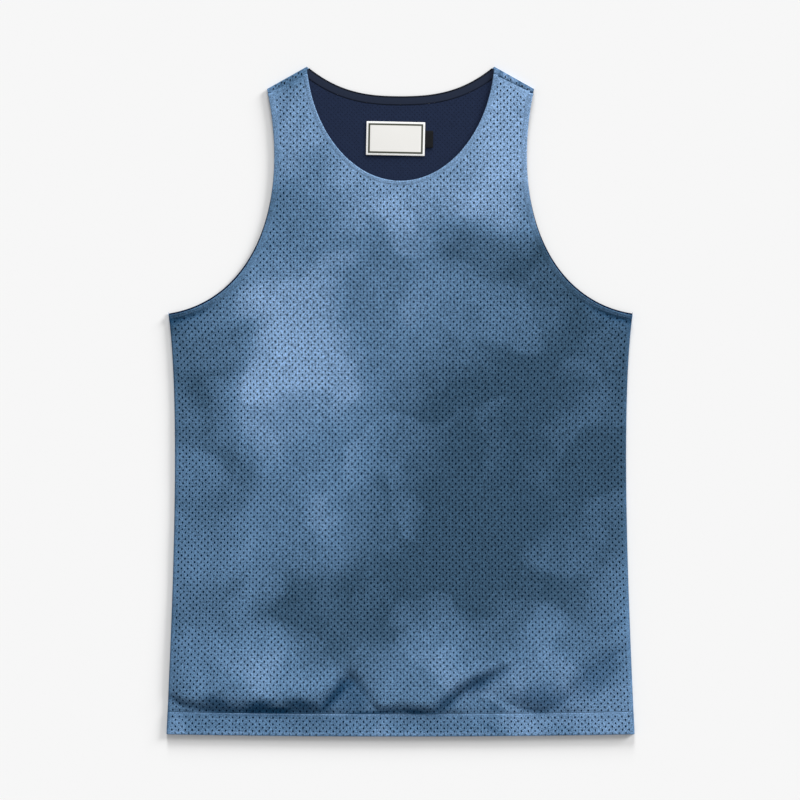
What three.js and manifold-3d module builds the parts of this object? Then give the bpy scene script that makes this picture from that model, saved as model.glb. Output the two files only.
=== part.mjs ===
// A sleeveless basketball jersey of double knit mesh, laid flat on its back.
//
// The light outer cloth and the dark lining are cut to one pattern, so the stack from the surface up is:
// back panel, back lining, front lining, front panel. The outer cloth turns down at the side seams,
// wraps forward over the shoulders, and is turned up into a deep hem. Narrow turned bands finish the neck
// and the armholes. A tape, a sewn label and a small tab lie on the inside of the back at the neck.
//
// Millimetres, +Z up. The origin lies on the surface, under the middle of the garment. X runs across it,
// and Y runs from the hem to the shoulders.

import * as THREE from 'three';
import { mergeVertices } from 'three/addons/utils/BufferGeometryUtils.js';
import Module from 'manifold-3d';

const wasm = await Module();
wasm.setup();

// Driving dimensions of the pattern
const LENGTH = 750;
const CHEST_HALF = 260;
const HEM_HALF = 262;
const NECK_HALF = 105;
const SHOULDER_HALF = 149.5;
const SHOULDER_DROP = 25;
const FRONT_NECK_DROP = 128;
const BACK_NECK_DROP = 33.5;
const ARMHOLE_DROP = 276.5;

// Hem, bands and seams
const HEM_HEIGHT = 25;
const HEM_SAG = 2.5;
const NECK_BAND = 6;
const ARMHOLE_BAND = 7.5;
const TAPE_WIDTH = 9.7;
const TAPE_SHOULDER_INSET = 3;
const SEAM_AT_NECK = 8;
const SEAM_AT_ARMHOLE = 5;
const BACK_FLAP = 6;
const SIDE_TURN = 4;
const LINING_PEEK = 0.4;
const LINING_SHOULDER_INSET = 2.4;
const LINING_HEM_INSET = 3;

// Cloth walls and the gaps between them
const CLOTH = 1;
const GAP = 0.3;
const BAND_RISE = 0.4;
const HEM_ROUND = 0.6;
const LAYER = CLOTH + GAP;

// Sewn label and side tab
const LABEL = { x: -5.3, y: 295, width: 66.3, height: 39.5, tilt: -0.014 };
const TAB = { width: 9, height: 19 };

// Shape of the pattern's curves. Each has a handle where it leaves its first end and one where it arrives
// at its last end, both measured from that end.
const HANDLES = {
  frontNeck: { leave: [-6, -75], arrive: [52, 0] },
  backNeck: { leave: [-36, -30], arrive: [35, 0] },
  armhole: { leave: [-27.5, -131], arrive: [-94, 14.5] },
  sideSeam: { leave: [-15, -110], arrive: [-5, 109] },
};

// Folds of the front above the hem. Each row is a point of a trough, with the height of the cloth that
// swells up above it.
const FOLD_CHAINS = [
  [
    { x: -262, y: -332, rise: 3 },
    { x: -212, y: -340, rise: 5 },
    { x: -174, y: -347, rise: 6.5 },
    { x: -120, y: -349, rise: 7.5 },
    { x: -88, y: -346, rise: 7 },
    { x: -73, y: -328, rise: 6 },
    { x: -59, y: -309, rise: 4.5 },
    { x: -45, y: -326, rise: 6 },
    { x: -32, y: -345, rise: 7 },
    { x: 5, y: -348, rise: 7.5 },
    { x: 41, y: -345, rise: 7 },
    { x: 62, y: -328, rise: 6 },
    { x: 93, y: -305, rise: 4.5 },
    { x: 124, y: -291, rise: 1 },
  ],
  [
    { x: 108, y: -318, rise: 0.5 },
    { x: 120, y: -336, rise: 3 },
    { x: 135, y: -346, rise: 4.5 },
    { x: 157, y: -348, rise: 5 },
    { x: 178, y: -343, rise: 4.5 },
    { x: 195, y: -328, rise: 4 },
    { x: 221, y: -294, rise: 3 },
    { x: 259, y: -272, rise: 2 },
  ],
];
const FOLD_ZONE = 80;
const FOLD_STEEP = 6;
const FOLD_REACH = 60;
const LIP_SHARE = 0.4;
const LIP_STEEP = 5;
const LIP_REACH = 18;

// Where the relief dies away: over a short way above the hem seam, near the sides and towards the chest.
const SEAM_PINCH = 7;
const SIDE_CALM = 16;
const SIDE_SHARE = 0.25;
const CHEST_CALM = 40;

// Soft swells of the body. Each row is one long mound of the cloth, turned by an angle in degrees.
const SWELLS = [
  { x: -120, y: 20, length: 170, width: 48, turn: 68, height: 1.6 },
  { x: 70, y: 60, length: 190, width: 60, turn: 98, height: 1.4 },
  { x: 165, y: -110, length: 150, width: 42, turn: 80, height: 1.8 },
  { x: -40, y: -170, length: 160, width: 55, turn: 112, height: 1.5 },
  { x: -190, y: -210, length: 110, width: 38, turn: 75, height: 1.7 },
];

// How closely curves and sheets are divided
const CURVE_STEPS = 22;
const HEM_STEPS = 16;
const PANEL_COLUMNS = 36;
const FOLD_ROWS = 10;
const BODY_ROWS = 18;
const SHOULDER_TURNS = 6;

// How far the cutting regions reach past the garment, and their lower and upper levels
const REACH = 40;
const BELOW = -10;
const ABOVE = 60;

// Colours of the cloth and trims
const outerCloth = new THREE.MeshStandardMaterial({ color: 0x6f96bd, roughness: 0.72, metalness: 0 });
const bandCloth = new THREE.MeshStandardMaterial({ color: 0x7aa2ca, roughness: 0.7, metalness: 0 });
const liningCloth = new THREE.MeshStandardMaterial({ color: 0x1f2a45, roughness: 0.75, metalness: 0 });
const tapeCloth = new THREE.MeshStandardMaterial({ color: 0x2b3345, roughness: 0.8, metalness: 0 });
const labelCloth = new THREE.MeshStandardMaterial({ color: 0xe6e4de, roughness: 0.6, metalness: 0 });
const tabCloth = new THREE.MeshStandardMaterial({ color: 0x1b1d20, roughness: 0.6, metalness: 0 });

// Levels of the four layers above the surface
const backLevel = 0;
const backLiningLevel = backLevel + LAYER;
const frontLiningLevel = backLiningLevel + LAYER;
const frontLevel = frontLiningLevel + LAYER;
const stackTop = frontLevel + CLOTH;

// Corner points of the right half of the pattern
const top = LENGTH / 2;
const bottom = -LENGTH / 2;
const point = (x, y) => new THREE.Vector2(x, y);
const neckPoint = point(NECK_HALF, top);
const shoulderTip = point(SHOULDER_HALF, top - SHOULDER_DROP);
const armpit = point(CHEST_HALF, top - ARMHOLE_DROP);
const frontNeckLow = point(0, top - FRONT_NECK_DROP);
const backNeckLow = point(0, top - BACK_NECK_DROP);
const hemCorner = point(HEM_HALF, bottom + HEM_SAG);

// Pattern curves of the right half
function patternCurve(first, last, handles) {
  const leave = first.clone().add(point(...handles.leave));
  const arrive = last.clone().add(point(...handles.arrive));
  return new THREE.CubicBezierCurve(first, leave, arrive, last);
}

const frontNeck = patternCurve(neckPoint, frontNeckLow, HANDLES.frontNeck);
const backNeck = patternCurve(neckPoint, backNeckLow, HANDLES.backNeck);
const armhole = patternCurve(shoulderTip, armpit, HANDLES.armhole);
const sideSeam = patternCurve(armpit, hemCorner, HANDLES.sideSeam);

const mirrored = (points) => points.map((p) => point(-p.x, p.y)).reverse();
const smooth = (t) => THREE.MathUtils.smoothstep(t, 0, 1);

// Height of the hem line at x: the hem hangs a little lower in the middle.
function hemLine(x, height) {
  return bottom + height + HEM_SAG * (x / HEM_HALF) ** 2;
}

// Half width of the body at y, from the side seam's curve; above the armpit it stays as wide as the chest.
const sideSamples = sideSeam.getPoints(80);
function halfWidth(y) {
  const below = sideSamples.findIndex((p) => p.y <= y);
  if (below === 0) return CHEST_HALF;
  if (below < 0) return HEM_HALF;
  const a = sideSamples[below - 1];
  const b = sideSamples[below];
  return THREE.MathUtils.mapLinear(y, a.y, b.y, a.x, b.x);
}

// A line of points moved sideways by a distance, to the left of its own direction.
function moved(points, distance) {
  return points.map((p, i) => {
    const before = points[Math.max(i - 1, 0)];
    const after = points[Math.min(i + 1, points.length - 1)];
    const along = after.clone().sub(before).normalize();
    return point(p.x - along.y * distance, p.y + along.x * distance);
  });
}

// Solids from closed outlines and from walls

function toSolid(geometry) {
  const bare = geometry.clone();
  bare.deleteAttribute('normal');
  bare.deleteAttribute('uv');
  const merged = mergeVertices(bare, 1e-4);
  return new wasm.Manifold(new wasm.Mesh({
    numProp: 3,
    vertProperties: new Float32Array(merged.attributes.position.array),
    triVerts: new Uint32Array(merged.index.array),
  }));
}

function toGeometry(solid) {
  const mesh = solid.getMesh();
  const geometry = new THREE.BufferGeometry();
  geometry.setAttribute('position', new THREE.BufferAttribute(mesh.vertProperties, 3));
  geometry.setIndex(new THREE.BufferAttribute(mesh.triVerts, 1));
  return geometry;
}

function plate(points, from, to) {
  const shape = new THREE.Shape(points);
  const geometry = new THREE.ExtrudeGeometry(shape, { depth: to - from, bevelEnabled: false });
  return toSolid(geometry.translate(0, 0, from));
}

// A closed wall between two surfaces that are given as functions of column and row.
function wall(columns, rows, upper, lower) {
  const positions = [];
  for (const surface of [upper, lower]) {
    for (let i = 0; i <= columns; i++) {
      for (let j = 0; j <= rows; j++) {
        positions.push(...surface(i, j));
      }
    }
  }
  const under = (columns + 1) * (rows + 1);
  const at = (i, j) => i * (rows + 1) + j;
  const index = [];
  const quad = (a, b, c, d) => index.push(a, b, c, a, c, d);
  for (let i = 0; i < columns; i++) {
    for (let j = 0; j < rows; j++) {
      quad(at(i, j), at(i + 1, j), at(i + 1, j + 1), at(i, j + 1));
      quad(under + at(i, j), under + at(i, j + 1), under + at(i + 1, j + 1), under + at(i + 1, j));
    }
    quad(at(i, 0), under + at(i, 0), under + at(i + 1, 0), at(i + 1, 0));
    quad(at(i, rows), at(i + 1, rows), under + at(i + 1, rows), under + at(i, rows));
  }
  for (let j = 0; j < rows; j++) {
    quad(at(0, j), at(0, j + 1), under + at(0, j + 1), under + at(0, j));
    quad(at(columns, j), under + at(columns, j), under + at(columns, j + 1), at(columns, j + 1));
  }
  const geometry = new THREE.BufferGeometry();
  geometry.setAttribute('position', new THREE.Float32BufferAttribute(positions, 3));
  geometry.setIndex(index);
  return geometry;
}

// Outlines and cutting regions

// The whole garment's outline with the given neckline, its armholes moved outwards by peek.
function outline(neck, peek = 0) {
  const hem = [];
  for (let i = 0; i <= HEM_STEPS; i++) {
    const x = HEM_HALF * (i / HEM_STEPS);
    hem.push(point(x, hemLine(x, 0)));
  }
  const side = sideSeam.getPoints(CURVE_STEPS).reverse().slice(1, -1);
  const arm = moved(armhole.getPoints(CURVE_STEPS), peek).reverse();
  const neckLine = neck.getPoints(CURVE_STEPS);
  const right = [...hem, ...side, ...arm, ...neckLine];
  return [...right, ...mirrored(right).slice(1, -1)];
}

// The body's width moved outwards by a margin, with no neck or armholes.
function bodyColumn(margin) {
  const side = sideSeam.getPoints(CURVE_STEPS).reverse();
  const right = [
    point(HEM_HALF + margin, bottom - REACH),
    ...side.map((p) => point(p.x + margin, p.y)),
    point(CHEST_HALF + margin, top + REACH),
  ];
  return [...right, ...mirrored(right)];
}

// What lies above the hem's seam line, which follows the hem's own curve.
function aboveSeam(height) {
  const right = [];
  const half = HEM_HALF + REACH;
  for (let i = 0; i <= HEM_STEPS; i++) {
    const x = half * (i / HEM_STEPS);
    right.push(point(x, hemLine(x, height)));
  }
  right.push(point(half, top + REACH));
  return plate([...right, ...mirrored(right).slice(0, -1)], BELOW, ABOVE);
}

// Direction across the shoulder, from the fold down towards the hem, on the right side.
const shoulderAlong = shoulderTip.clone().sub(neckPoint).normalize();
const shoulderInward = point(shoulderAlong.y, -shoulderAlong.x);

// What lies nearer to both shoulder folds than a line at the given depths from the neck and armhole ends.
function nearShoulders(depthAtNeck, depthAtArmhole) {
  const from = neckPoint.clone().addScaledVector(shoulderInward, depthAtNeck);
  const to = shoulderTip.clone().addScaledVector(shoulderInward, depthAtArmhole);
  const along = to.clone().sub(from).normalize();
  const right = [
    from.clone().addScaledVector(along, -REACH),
    to.clone().addScaledVector(along, REACH),
    to.clone().addScaledVector(along, REACH).addScaledVector(shoulderInward, -2 * REACH),
    from.clone().addScaledVector(along, -REACH).addScaledVector(shoulderInward, -2 * REACH),
  ];
  return plate(right, BELOW, ABOVE).add(plate(mirrored(right), BELOW, ABOVE));
}

// A band between a line and the same line moved by a width into the cloth, which lies on the line's right.
function bandOutline(line, width) {
  return [...line, ...moved(line, -width).reverse()];
}

// A neckline from the left shoulder through its lowest point to the right shoulder.
function wholeNeckline(curve) {
  const right = curve.getPoints(CURVE_STEPS);
  return [...mirrored(right).reverse(), ...right.reverse().slice(1)];
}

const frontNeckLine = wholeNeckline(frontNeck);
const backNeckLine = wholeNeckline(backNeck);

// The armhole's line runs on past both its ends, so that a band made along it is cut clean there.
const armholeLine = [
  shoulderTip.clone().addScaledVector(armhole.getTangent(0), -ARMHOLE_BAND),
  ...armhole.getPoints(CURVE_STEPS),
  armpit.clone().addScaledVector(armhole.getTangent(1), 2 * ARMHOLE_BAND),
];

const beyondFrontSeam = (gap) => nearShoulders(SEAM_AT_NECK + gap, SEAM_AT_ARMHOLE + gap);

// How high the cloth stands at a distance from a trough, as a share of its rise.
function foldProfile(distance) {
  const d = Math.abs(distance);
  if (distance > 0) {
    return 1.25 * (1 - Math.exp(-((d / FOLD_STEEP) ** 1.5))) * Math.exp(-d / FOLD_REACH);
  }
  return LIP_SHARE * (1 - Math.exp(-((d / LIP_STEEP) ** 1.5))) * Math.exp(-d / LIP_REACH);
}

// Signed distance from a chain, positive above it, and the chain's rise at the nearest place.
function nearestOnChain(chain, x, y) {
  let best = { distance: Infinity, rise: 0 };
  for (let i = 0; i + 1 < chain.length; i++) {
    const a = chain[i];
    const b = chain[i + 1];
    const dx = b.x - a.x;
    const dy = b.y - a.y;
    const t = THREE.MathUtils.clamp(((x - a.x) * dx + (y - a.y) * dy) / (dx * dx + dy * dy), 0, 1);
    const away = Math.hypot(x - a.x - t * dx, y - a.y - t * dy);
    if (away < Math.abs(best.distance)) {
      const above = dx * (y - a.y) - dy * (x - a.x) >= 0;
      best = { distance: above ? away : -away, rise: a.rise + t * (b.rise - a.rise) };
    }
  }
  return best;
}

// Height of the front cloth's folds and swells over the flat stack.
function relief(x, y) {
  let height = 0;
  for (const chain of FOLD_CHAINS) {
    const near = nearestOnChain(chain, x, y);
    height += near.rise * foldProfile(near.distance);
  }
  for (const s of SWELLS) {
    const turn = THREE.MathUtils.degToRad(s.turn);
    const along = (x - s.x) * Math.cos(turn) + (y - s.y) * Math.sin(turn);
    const across = (y - s.y) * Math.cos(turn) - (x - s.x) * Math.sin(turn);
    height += s.height * Math.exp(-((along / s.length) ** 2) - (across / s.width) ** 2);
  }
  const pinch = smooth((y - hemLine(x, HEM_HEIGHT)) / SEAM_PINCH);
  const side = SIDE_SHARE + (1 - SIDE_SHARE) * smooth((halfWidth(y) - Math.abs(x)) / SIDE_CALM);
  const chest = 1 - smooth((y - CHEST_CALM) / (armpit.y - CHEST_CALM));
  return height * pinch * side * chest;
}

// Columns of a sheet from side to side, as shares of its half width, closer together where the sides turn.
const TURN_SHARE = SIDE_TURN / CHEST_HALF;
function columnShares(count) {
  const edge = [0, 0.3, 0.65].map((part) => 1 - part * TURN_SHARE);
  const shares = [];
  for (let i = 0; i <= count; i++) {
    shares.push((1 - TURN_SHARE) * (2 * (i / count) - 1));
  }
  return [...edge.map((share) => -share), ...shares, ...edge.reverse()];
}

// How far the front cloth has turned down, at a share of the half width in from the side edge.
function sideDrop(share, drop) {
  return drop * (1 - smooth(share / TURN_SHARE));
}

// The front panel: a sheet that follows the sides, raised by its folds, then cut to the neck and armholes.
function frontPanel() {
  const shares = columnShares(PANEL_COLUMNS);
  const panelHeight = LENGTH - HEM_HEIGHT - GAP;
  const aboveHem = [];
  for (let j = 0; j < FOLD_ROWS; j++) {
    aboveHem.push(FOLD_ZONE * (j / FOLD_ROWS) ** 1.5);
  }
  for (let j = 0; j <= BODY_ROWS; j++) {
    aboveHem.push(THREE.MathUtils.lerp(FOLD_ZONE, panelHeight, j / BODY_ROWS));
  }
  const surface = (level) => (i, j) => {
    const straight = bottom + HEM_HEIGHT + GAP + aboveHem[j];
    const x = shares[i] * halfWidth(straight);
    const follow = 1 - smooth(aboveHem[j] / (LENGTH / 2));
    const y = straight + follow * HEM_SAG * (x / HEM_HALF) ** 2;
    const drop = sideDrop(1 - Math.abs(shares[i]), frontLevel - LAYER);
    return [x, y, level + relief(x, y) - drop];
  };
  const sheet = wall(shares.length - 1, aboveHem.length - 1, surface(stackTop), surface(frontLevel));
  const armholeCut = bandOutline(armholeLine, ARMHOLE_BAND + GAP);
  const bands = plate(bandOutline(frontNeckLine, NECK_BAND + GAP), BELOW, ABOVE)
    .add(plate(armholeCut, BELOW, ABOVE))
    .add(plate(mirrored(armholeCut), BELOW, ABOVE));
  const aroundSides = [point(HEM_HALF + REACH, bottom), point(HEM_HALF + REACH, armpit.y)];
  const body = plate(outline(frontNeck), BELOW, ABOVE)
    .add(plate([...aroundSides, ...mirrored(aroundSides)], BELOW, ABOVE));
  return toGeometry(toSolid(sheet).intersect(body).subtract(bands).subtract(beyondFrontSeam(GAP)));
}

// The flat panels under it
function backPanel() {
  return toGeometry(plate(outline(backNeck), backLevel, backLevel + CLOTH)
    .intersect(aboveSeam(HEM_HEIGHT + GAP))
    .subtract(nearShoulders(BACK_FLAP + GAP, BACK_FLAP + GAP)));
}

function lining(neck, level, floor) {
  return toGeometry(plate(outline(neck, LINING_PEEK), level, level + CLOTH)
    .intersect(plate(bodyColumn(-SIDE_TURN - GAP), BELOW, ABOVE))
    .intersect(aboveSeam(floor))
    .subtract(nearShoulders(LINING_SHOULDER_INSET, LINING_SHOULDER_INSET)));
}

// The turned hems: cloth folded double, with a rounded lower edge
function hem(level, drop) {
  const shares = columnShares(HEM_STEPS);
  const rows = [
    { height: 0, round: HEM_ROUND },
    { height: HEM_ROUND, round: 0 },
    { height: HEM_HEIGHT, round: 0 },
  ];
  const surface = (upper) => (i, j) => {
    const y = hemLine(shares[i] * HEM_HALF, rows[j].height);
    const x = shares[i] * halfWidth(y);
    const lift = upper ? 2 * CLOTH - rows[j].round : 0;
    return [x, y, level + lift - sideDrop(1 - Math.abs(shares[i]), drop)];
  };
  return wall(shares.length - 1, rows.length - 1, surface(true), surface(false));
}

// The turned bands along the neck and the armholes, cut off at the shoulder seams
function neckBand() {
  return toGeometry(plate(bandOutline(frontNeckLine, NECK_BAND), frontLevel, stackTop + BAND_RISE)
    .intersect(plate(outline(frontNeck), BELOW, ABOVE))
    .subtract(beyondFrontSeam(0)));
}

function armholeBand(side) {
  const right = bandOutline(armholeLine, ARMHOLE_BAND);
  const band = plate(side > 0 ? right : mirrored(right), frontLevel, stackTop + BAND_RISE);
  return toGeometry(band
    .intersect(plate(outline(frontNeck), BELOW, ABOVE))
    .subtract(beyondFrontSeam(0)));
}

// The shoulder: the back's cloth wrapped over the fold and forward to the front seam
function shoulder(side) {
  const middle = stackTop / 2;
  const ends = [
    { at: neckPoint, front: frontNeck.getTangent(0), back: backNeck.getTangent(0), seam: SEAM_AT_NECK },
    { at: shoulderTip, front: armhole.getTangent(0), back: armhole.getTangent(0), seam: SEAM_AT_ARMHOLE },
  ];
  const lastRow = SHOULDER_TURNS + 2;
  const surface = (radius) => (i, j) => {
    const end = ends[i];
    const angle = (Math.PI * THREE.MathUtils.clamp(j - 1, 0, SHOULDER_TURNS)) / SHOULDER_TURNS;
    const onFront = angle < Math.PI / 2;
    let depth = middle - radius * Math.sin(angle);
    if (j === 0) depth = end.seam - GAP;
    if (j === lastRow) depth = BACK_FLAP;
    const direction = onFront ? end.front : end.back;
    const at = end.at.clone().addScaledVector(direction, depth / direction.dot(shoulderInward));
    return [side * at.x, at.y, middle + radius * Math.cos(angle)];
  };
  const outerFace = surface(middle);
  const innerFace = surface(middle - CLOTH);
  return side > 0 ? wall(1, lastRow, outerFace, innerFace) : wall(1, lastRow, innerFace, outerFace);
}

// Trims on the inside of the back. The tape shows only within the front neckline, where it stops.
function neckTape() {
  const throat = [...frontNeck.getPoints(CURVE_STEPS), point(0, top + REACH), point(NECK_HALF, top + REACH)]
    .map((p) => point(Math.max(p.x - 2 * GAP, 0), p.y));
  const band = plate(bandOutline(backNeckLine, TAPE_WIDTH), frontLiningLevel, frontLiningLevel + CLOTH);
  const opening = plate(throat, BELOW, ABOVE).add(plate(mirrored(throat), BELOW, ABOVE));
  const atShoulders = nearShoulders(TAPE_SHOULDER_INSET, TAPE_SHOULDER_INSET);
  return toGeometry(band.intersect(opening).subtract(atShoulders));
}

function sewnPatch(width, height, x) {
  const depth = CLOTH;
  const geometry = new THREE.BoxGeometry(width, height, depth);
  geometry.translate(x, 0, frontLiningLevel + depth / 2);
  geometry.rotateZ(LABEL.tilt);
  return geometry.translate(LABEL.x, LABEL.y, 0);
}

const jersey = new THREE.Group();

function add(name, geometry, material) {
  const mesh = new THREE.Mesh(geometry, material);
  mesh.name = name;
  jersey.add(mesh);
}

add('back_panel', backPanel(), outerCloth);
add('back_hem', hem(backLevel, 0), outerCloth);
add('back_lining', lining(backNeck, backLiningLevel, HEM_HEIGHT + 2 * GAP), liningCloth);
add('front_lining', lining(frontNeck, frontLiningLevel, LINING_HEM_INSET), liningCloth);
add('front_panel', frontPanel(), outerCloth);
add('front_hem', hem(frontLevel, frontLevel - 2 * CLOTH - GAP), outerCloth);
add('front_neck_band', neckBand(), bandCloth);
for (const [name, side] of [['left', -1], ['right', 1]]) {
  add(`armhole_band_${name}`, armholeBand(side), bandCloth);
  add(`shoulder_${name}`, shoulder(side), outerCloth);
}
add('back_neck_tape', neckTape(), tapeCloth);
add('label', sewnPatch(LABEL.width, LABEL.height, 0), labelCloth);
add('label_tab', sewnPatch(TAB.width, TAB.height, (LABEL.width + TAB.width) / 2 + GAP), tabCloth);

export default jersey;
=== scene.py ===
import math
import random

import bmesh
import bpy
import numpy as np
from bpy.props import FloatProperty, FloatVectorProperty, PointerProperty
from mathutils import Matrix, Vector, geometry, kdtree, noise


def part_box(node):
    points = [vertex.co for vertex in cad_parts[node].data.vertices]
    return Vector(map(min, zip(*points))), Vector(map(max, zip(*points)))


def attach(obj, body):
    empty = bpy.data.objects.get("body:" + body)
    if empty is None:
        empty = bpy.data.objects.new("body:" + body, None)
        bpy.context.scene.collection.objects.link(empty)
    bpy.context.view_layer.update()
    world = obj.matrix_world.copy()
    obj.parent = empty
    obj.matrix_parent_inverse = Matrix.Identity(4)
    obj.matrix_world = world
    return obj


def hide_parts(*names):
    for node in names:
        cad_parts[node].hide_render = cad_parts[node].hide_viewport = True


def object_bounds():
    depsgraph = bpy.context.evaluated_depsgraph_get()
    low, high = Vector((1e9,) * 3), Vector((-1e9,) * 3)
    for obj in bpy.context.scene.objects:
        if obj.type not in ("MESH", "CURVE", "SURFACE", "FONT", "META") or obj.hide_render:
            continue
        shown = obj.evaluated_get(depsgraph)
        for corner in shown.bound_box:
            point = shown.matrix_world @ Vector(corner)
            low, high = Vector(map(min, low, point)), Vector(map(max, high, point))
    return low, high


bl_info = {
    "name": "Mesh Jersey",
    "version": (1, 0, 0),
    "blender": (4, 5, 0),
    "location": "3D View > Sidebar > Jersey",
    "description": "Dresses the jersey's solids in folded knit mesh with its bands, hems and labels",
    "category": "Object",
}

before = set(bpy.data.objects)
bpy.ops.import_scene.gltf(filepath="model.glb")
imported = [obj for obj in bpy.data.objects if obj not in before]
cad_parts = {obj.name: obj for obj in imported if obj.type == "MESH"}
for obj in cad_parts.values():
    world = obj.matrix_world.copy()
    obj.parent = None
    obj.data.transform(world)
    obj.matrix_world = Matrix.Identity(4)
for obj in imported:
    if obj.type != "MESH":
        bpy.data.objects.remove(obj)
CAD_LOW, CAD_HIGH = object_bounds()


def table(columns, *rows):
    """Rows of values, each as a dict under the columns' names."""
    return [dict(zip(columns.split(), row)) for row in rows]


# Corner points of the right half of the pattern, in the frame's metres.
TOP = CAD_HIGH.y
BOTTOM = CAD_LOW.y
HEM_HALF = CAD_HIGH.x
CHEST_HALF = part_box("armhole_band_right")[1].x
NECK_POINT = Vector((0.105, TOP))
SHOULDER_TIP = Vector((0.1495, TOP - 0.025))
ARMPIT = Vector((CHEST_HALF, TOP - 0.2765))
FRONT_NECK_LOW = Vector((0, TOP - 0.128))
BACK_NECK_LOW = Vector((0, TOP - 0.0335))
HEM_SAG = 0.0025
HEM_CORNER = Vector((HEM_HALF, BOTTOM + HEM_SAG))

# Depths of the shoulder seam below the fold, at the neck and at the armhole.
SEAM_AT_NECK = 0.008
SEAM_AT_ARMHOLE = 0.005
BACK_FLAP = 0.006

# Heights of the cloth layers above the surface that the jersey lies on.
BACK_LEVEL = 0.0003
BACK_LINING_LEVEL = 0.0018
FRONT_LINING_LEVEL = 0.0031
FRONT_LEVEL = 0.0047
SIDE_SEAM_LEVEL = 0.0021
SIDE_TURN = 0.0022
SIDE_SHARES = (0.28, 0.6, 0.85)

# How much of the dark lining shows beyond the front's turned edge at each armhole.
LINING_SHOWS = 0.0018

# Each row is a point of a trough above the hem: how high the cloth swells above it, and how far it slopes.
FOLD_CHAINS = (
    table(
        "x y rise slope",
        (-0.264, -0.328, 0.0040, 0.005),
        (-0.244, -0.339, 0.0048, 0.005),
        (-0.225, -0.344, 0.0056, 0.008),
        (-0.205, -0.347, 0.0080, 0.013),
        (-0.188, -0.348, 0.0088, 0.014),
        (-0.160, -0.349, 0.0084, 0.013),
        (-0.142, -0.347, 0.0072, 0.008),
        (-0.120, -0.349, 0.0084, 0.013),
        (-0.088, -0.347, 0.0082, 0.010),
        (-0.074, -0.330, 0.0078, 0.010),
        (-0.057, -0.309, 0.0046, 0.009),
        (-0.047, -0.321, 0.0022, 0.010),
        (-0.037, -0.336, 0.0022, 0.008),
        (-0.024, -0.347, 0.0046, 0.005),
        (0.000, -0.346, 0.0056, 0.006),
        (0.020, -0.348, 0.0060, 0.006),
        (0.038, -0.348, 0.0066, 0.006),
        (0.054, -0.337, 0.0076, 0.007),
        (0.066, -0.326, 0.0078, 0.008),
        (0.084, -0.316, 0.0068, 0.008),
        (0.104, -0.306, 0.0046, 0.008),
        (0.130, -0.291, 0.0000, 0.009),
    ),
    table(
        "x y rise slope",
        (0.098, -0.326, 0.0000, 0.010),
        (0.118, -0.338, 0.0020, 0.013),
        (0.136, -0.345, 0.0044, 0.014),
        (0.157, -0.348, 0.0056, 0.012),
        (0.174, -0.344, 0.0052, 0.014),
        (0.192, -0.328, 0.0040, 0.018),
        (0.222, -0.300, 0.0032, 0.016),
        (0.264, -0.270, 0.0028, 0.012),
    ),
)

# Each row is a soft area of painted shade, mostly in a fold and a few on the straps: its middle, half sizes,
# turn in degrees and depth.
FOLD_SHADES = table(
    "x y wide tall turn depth",
    (-0.145, -0.3460, 0.068, 0.0058, 0, 1.00),
    (-0.203, -0.3385, 0.017, 0.0085, -14, 0.80),
    (-0.158, -0.3410, 0.019, 0.0095, 8, 0.92),
    (-0.113, -0.3405, 0.020, 0.0090, -6, 0.88),
    (-0.072, -0.3275, 0.027, 0.0085, 50, 0.92),
    (-0.057, -0.3160, 0.011, 0.0090, 0, 0.78),
    (-0.056, -0.3330, 0.023, 0.0190, 0, 0.55),
    (-0.046, -0.3190, 0.016, 0.0060, -52, 0.58),
    (-0.026, -0.3480, 0.042, 0.0028, 3, 0.92),
    (0.018, -0.3475, 0.028, 0.0032, -5, 0.86),
    (0.233, -0.2880, 0.025, 0.0038, 42, 0.42),
    (0.240, -0.2490, 0.016, 0.0026, 29, 0.36),
    (0.055, -0.3350, 0.020, 0.0080, 43, 0.78),
    (0.086, -0.3150, 0.040, 0.0098, 28, 0.86),
    (0.163, -0.3320, 0.040, 0.0165, 4, 0.66),
    (0.146, -0.3440, 0.014, 0.0034, -8, 0.80),
    (0.210, -0.3120, 0.048, 0.0170, 39, 0.48),
    (0.107, -0.3430, 0.011, 0.0042, -20, 0.45),
    (0.102, -0.3660, 0.014, 0.0030, -34, 0.50),
    (-0.090, -0.3570, 0.030, 0.0016, 0, 0.35),
    (-0.130, 0.3290, 0.027, 0.0055, 70, 0.22),
    (0.134, 0.3240, 0.010, 0.0050, -40, 0.26),
    (0.134, 0.2370, 0.010, 0.0050, -35, 0.22),
)

# A trough's cloth: how far it stays raised above the line, and the lower lip below it.
FOLD_REACH = 0.060
LIP_SHARE = 0.4
LIP_STEEP = 0.005
LIP_REACH = 0.018

# How softly a trough's points join, how far it fades past its ends, and how high up the cloth is made finer.
CHAIN_JOIN = 0.003
CHAIN_FADE = 0.018
FOLD_ZONE = 0.080

# A trough's painted shade: its reach above the line as a share of the slope, its reach below, and its full
# rise.
SHADE_ABOVE = 0.8
SHADE_BELOW = 0.003
FULL_RISE = 0.0068

# Each row is one long soft mound of the front, turned by an angle in degrees.
SWELLS = table(
    "x y length width turn height",
    (-0.120, 0.020, 0.170, 0.048, 68, 0.0016),
    (0.070, 0.060, 0.190, 0.060, 98, 0.0014),
    (0.165, -0.110, 0.150, 0.042, 80, 0.0018),
    (-0.040, -0.170, 0.160, 0.055, 112, 0.0015),
    (-0.190, -0.210, 0.110, 0.038, 75, 0.0017),
)

# The relief ends softly at the hem seam, at the sides, where a share stays, and from the chest upward.
SEAM_PINCH = 0.007
SIDE_CALM = 0.016
SIDE_SHARE = 0.25
CHEST_CALM = 0.040

# The print's middle tone, from 0, dark, to 1, light.
PRINT_TONE = 0.50

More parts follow.
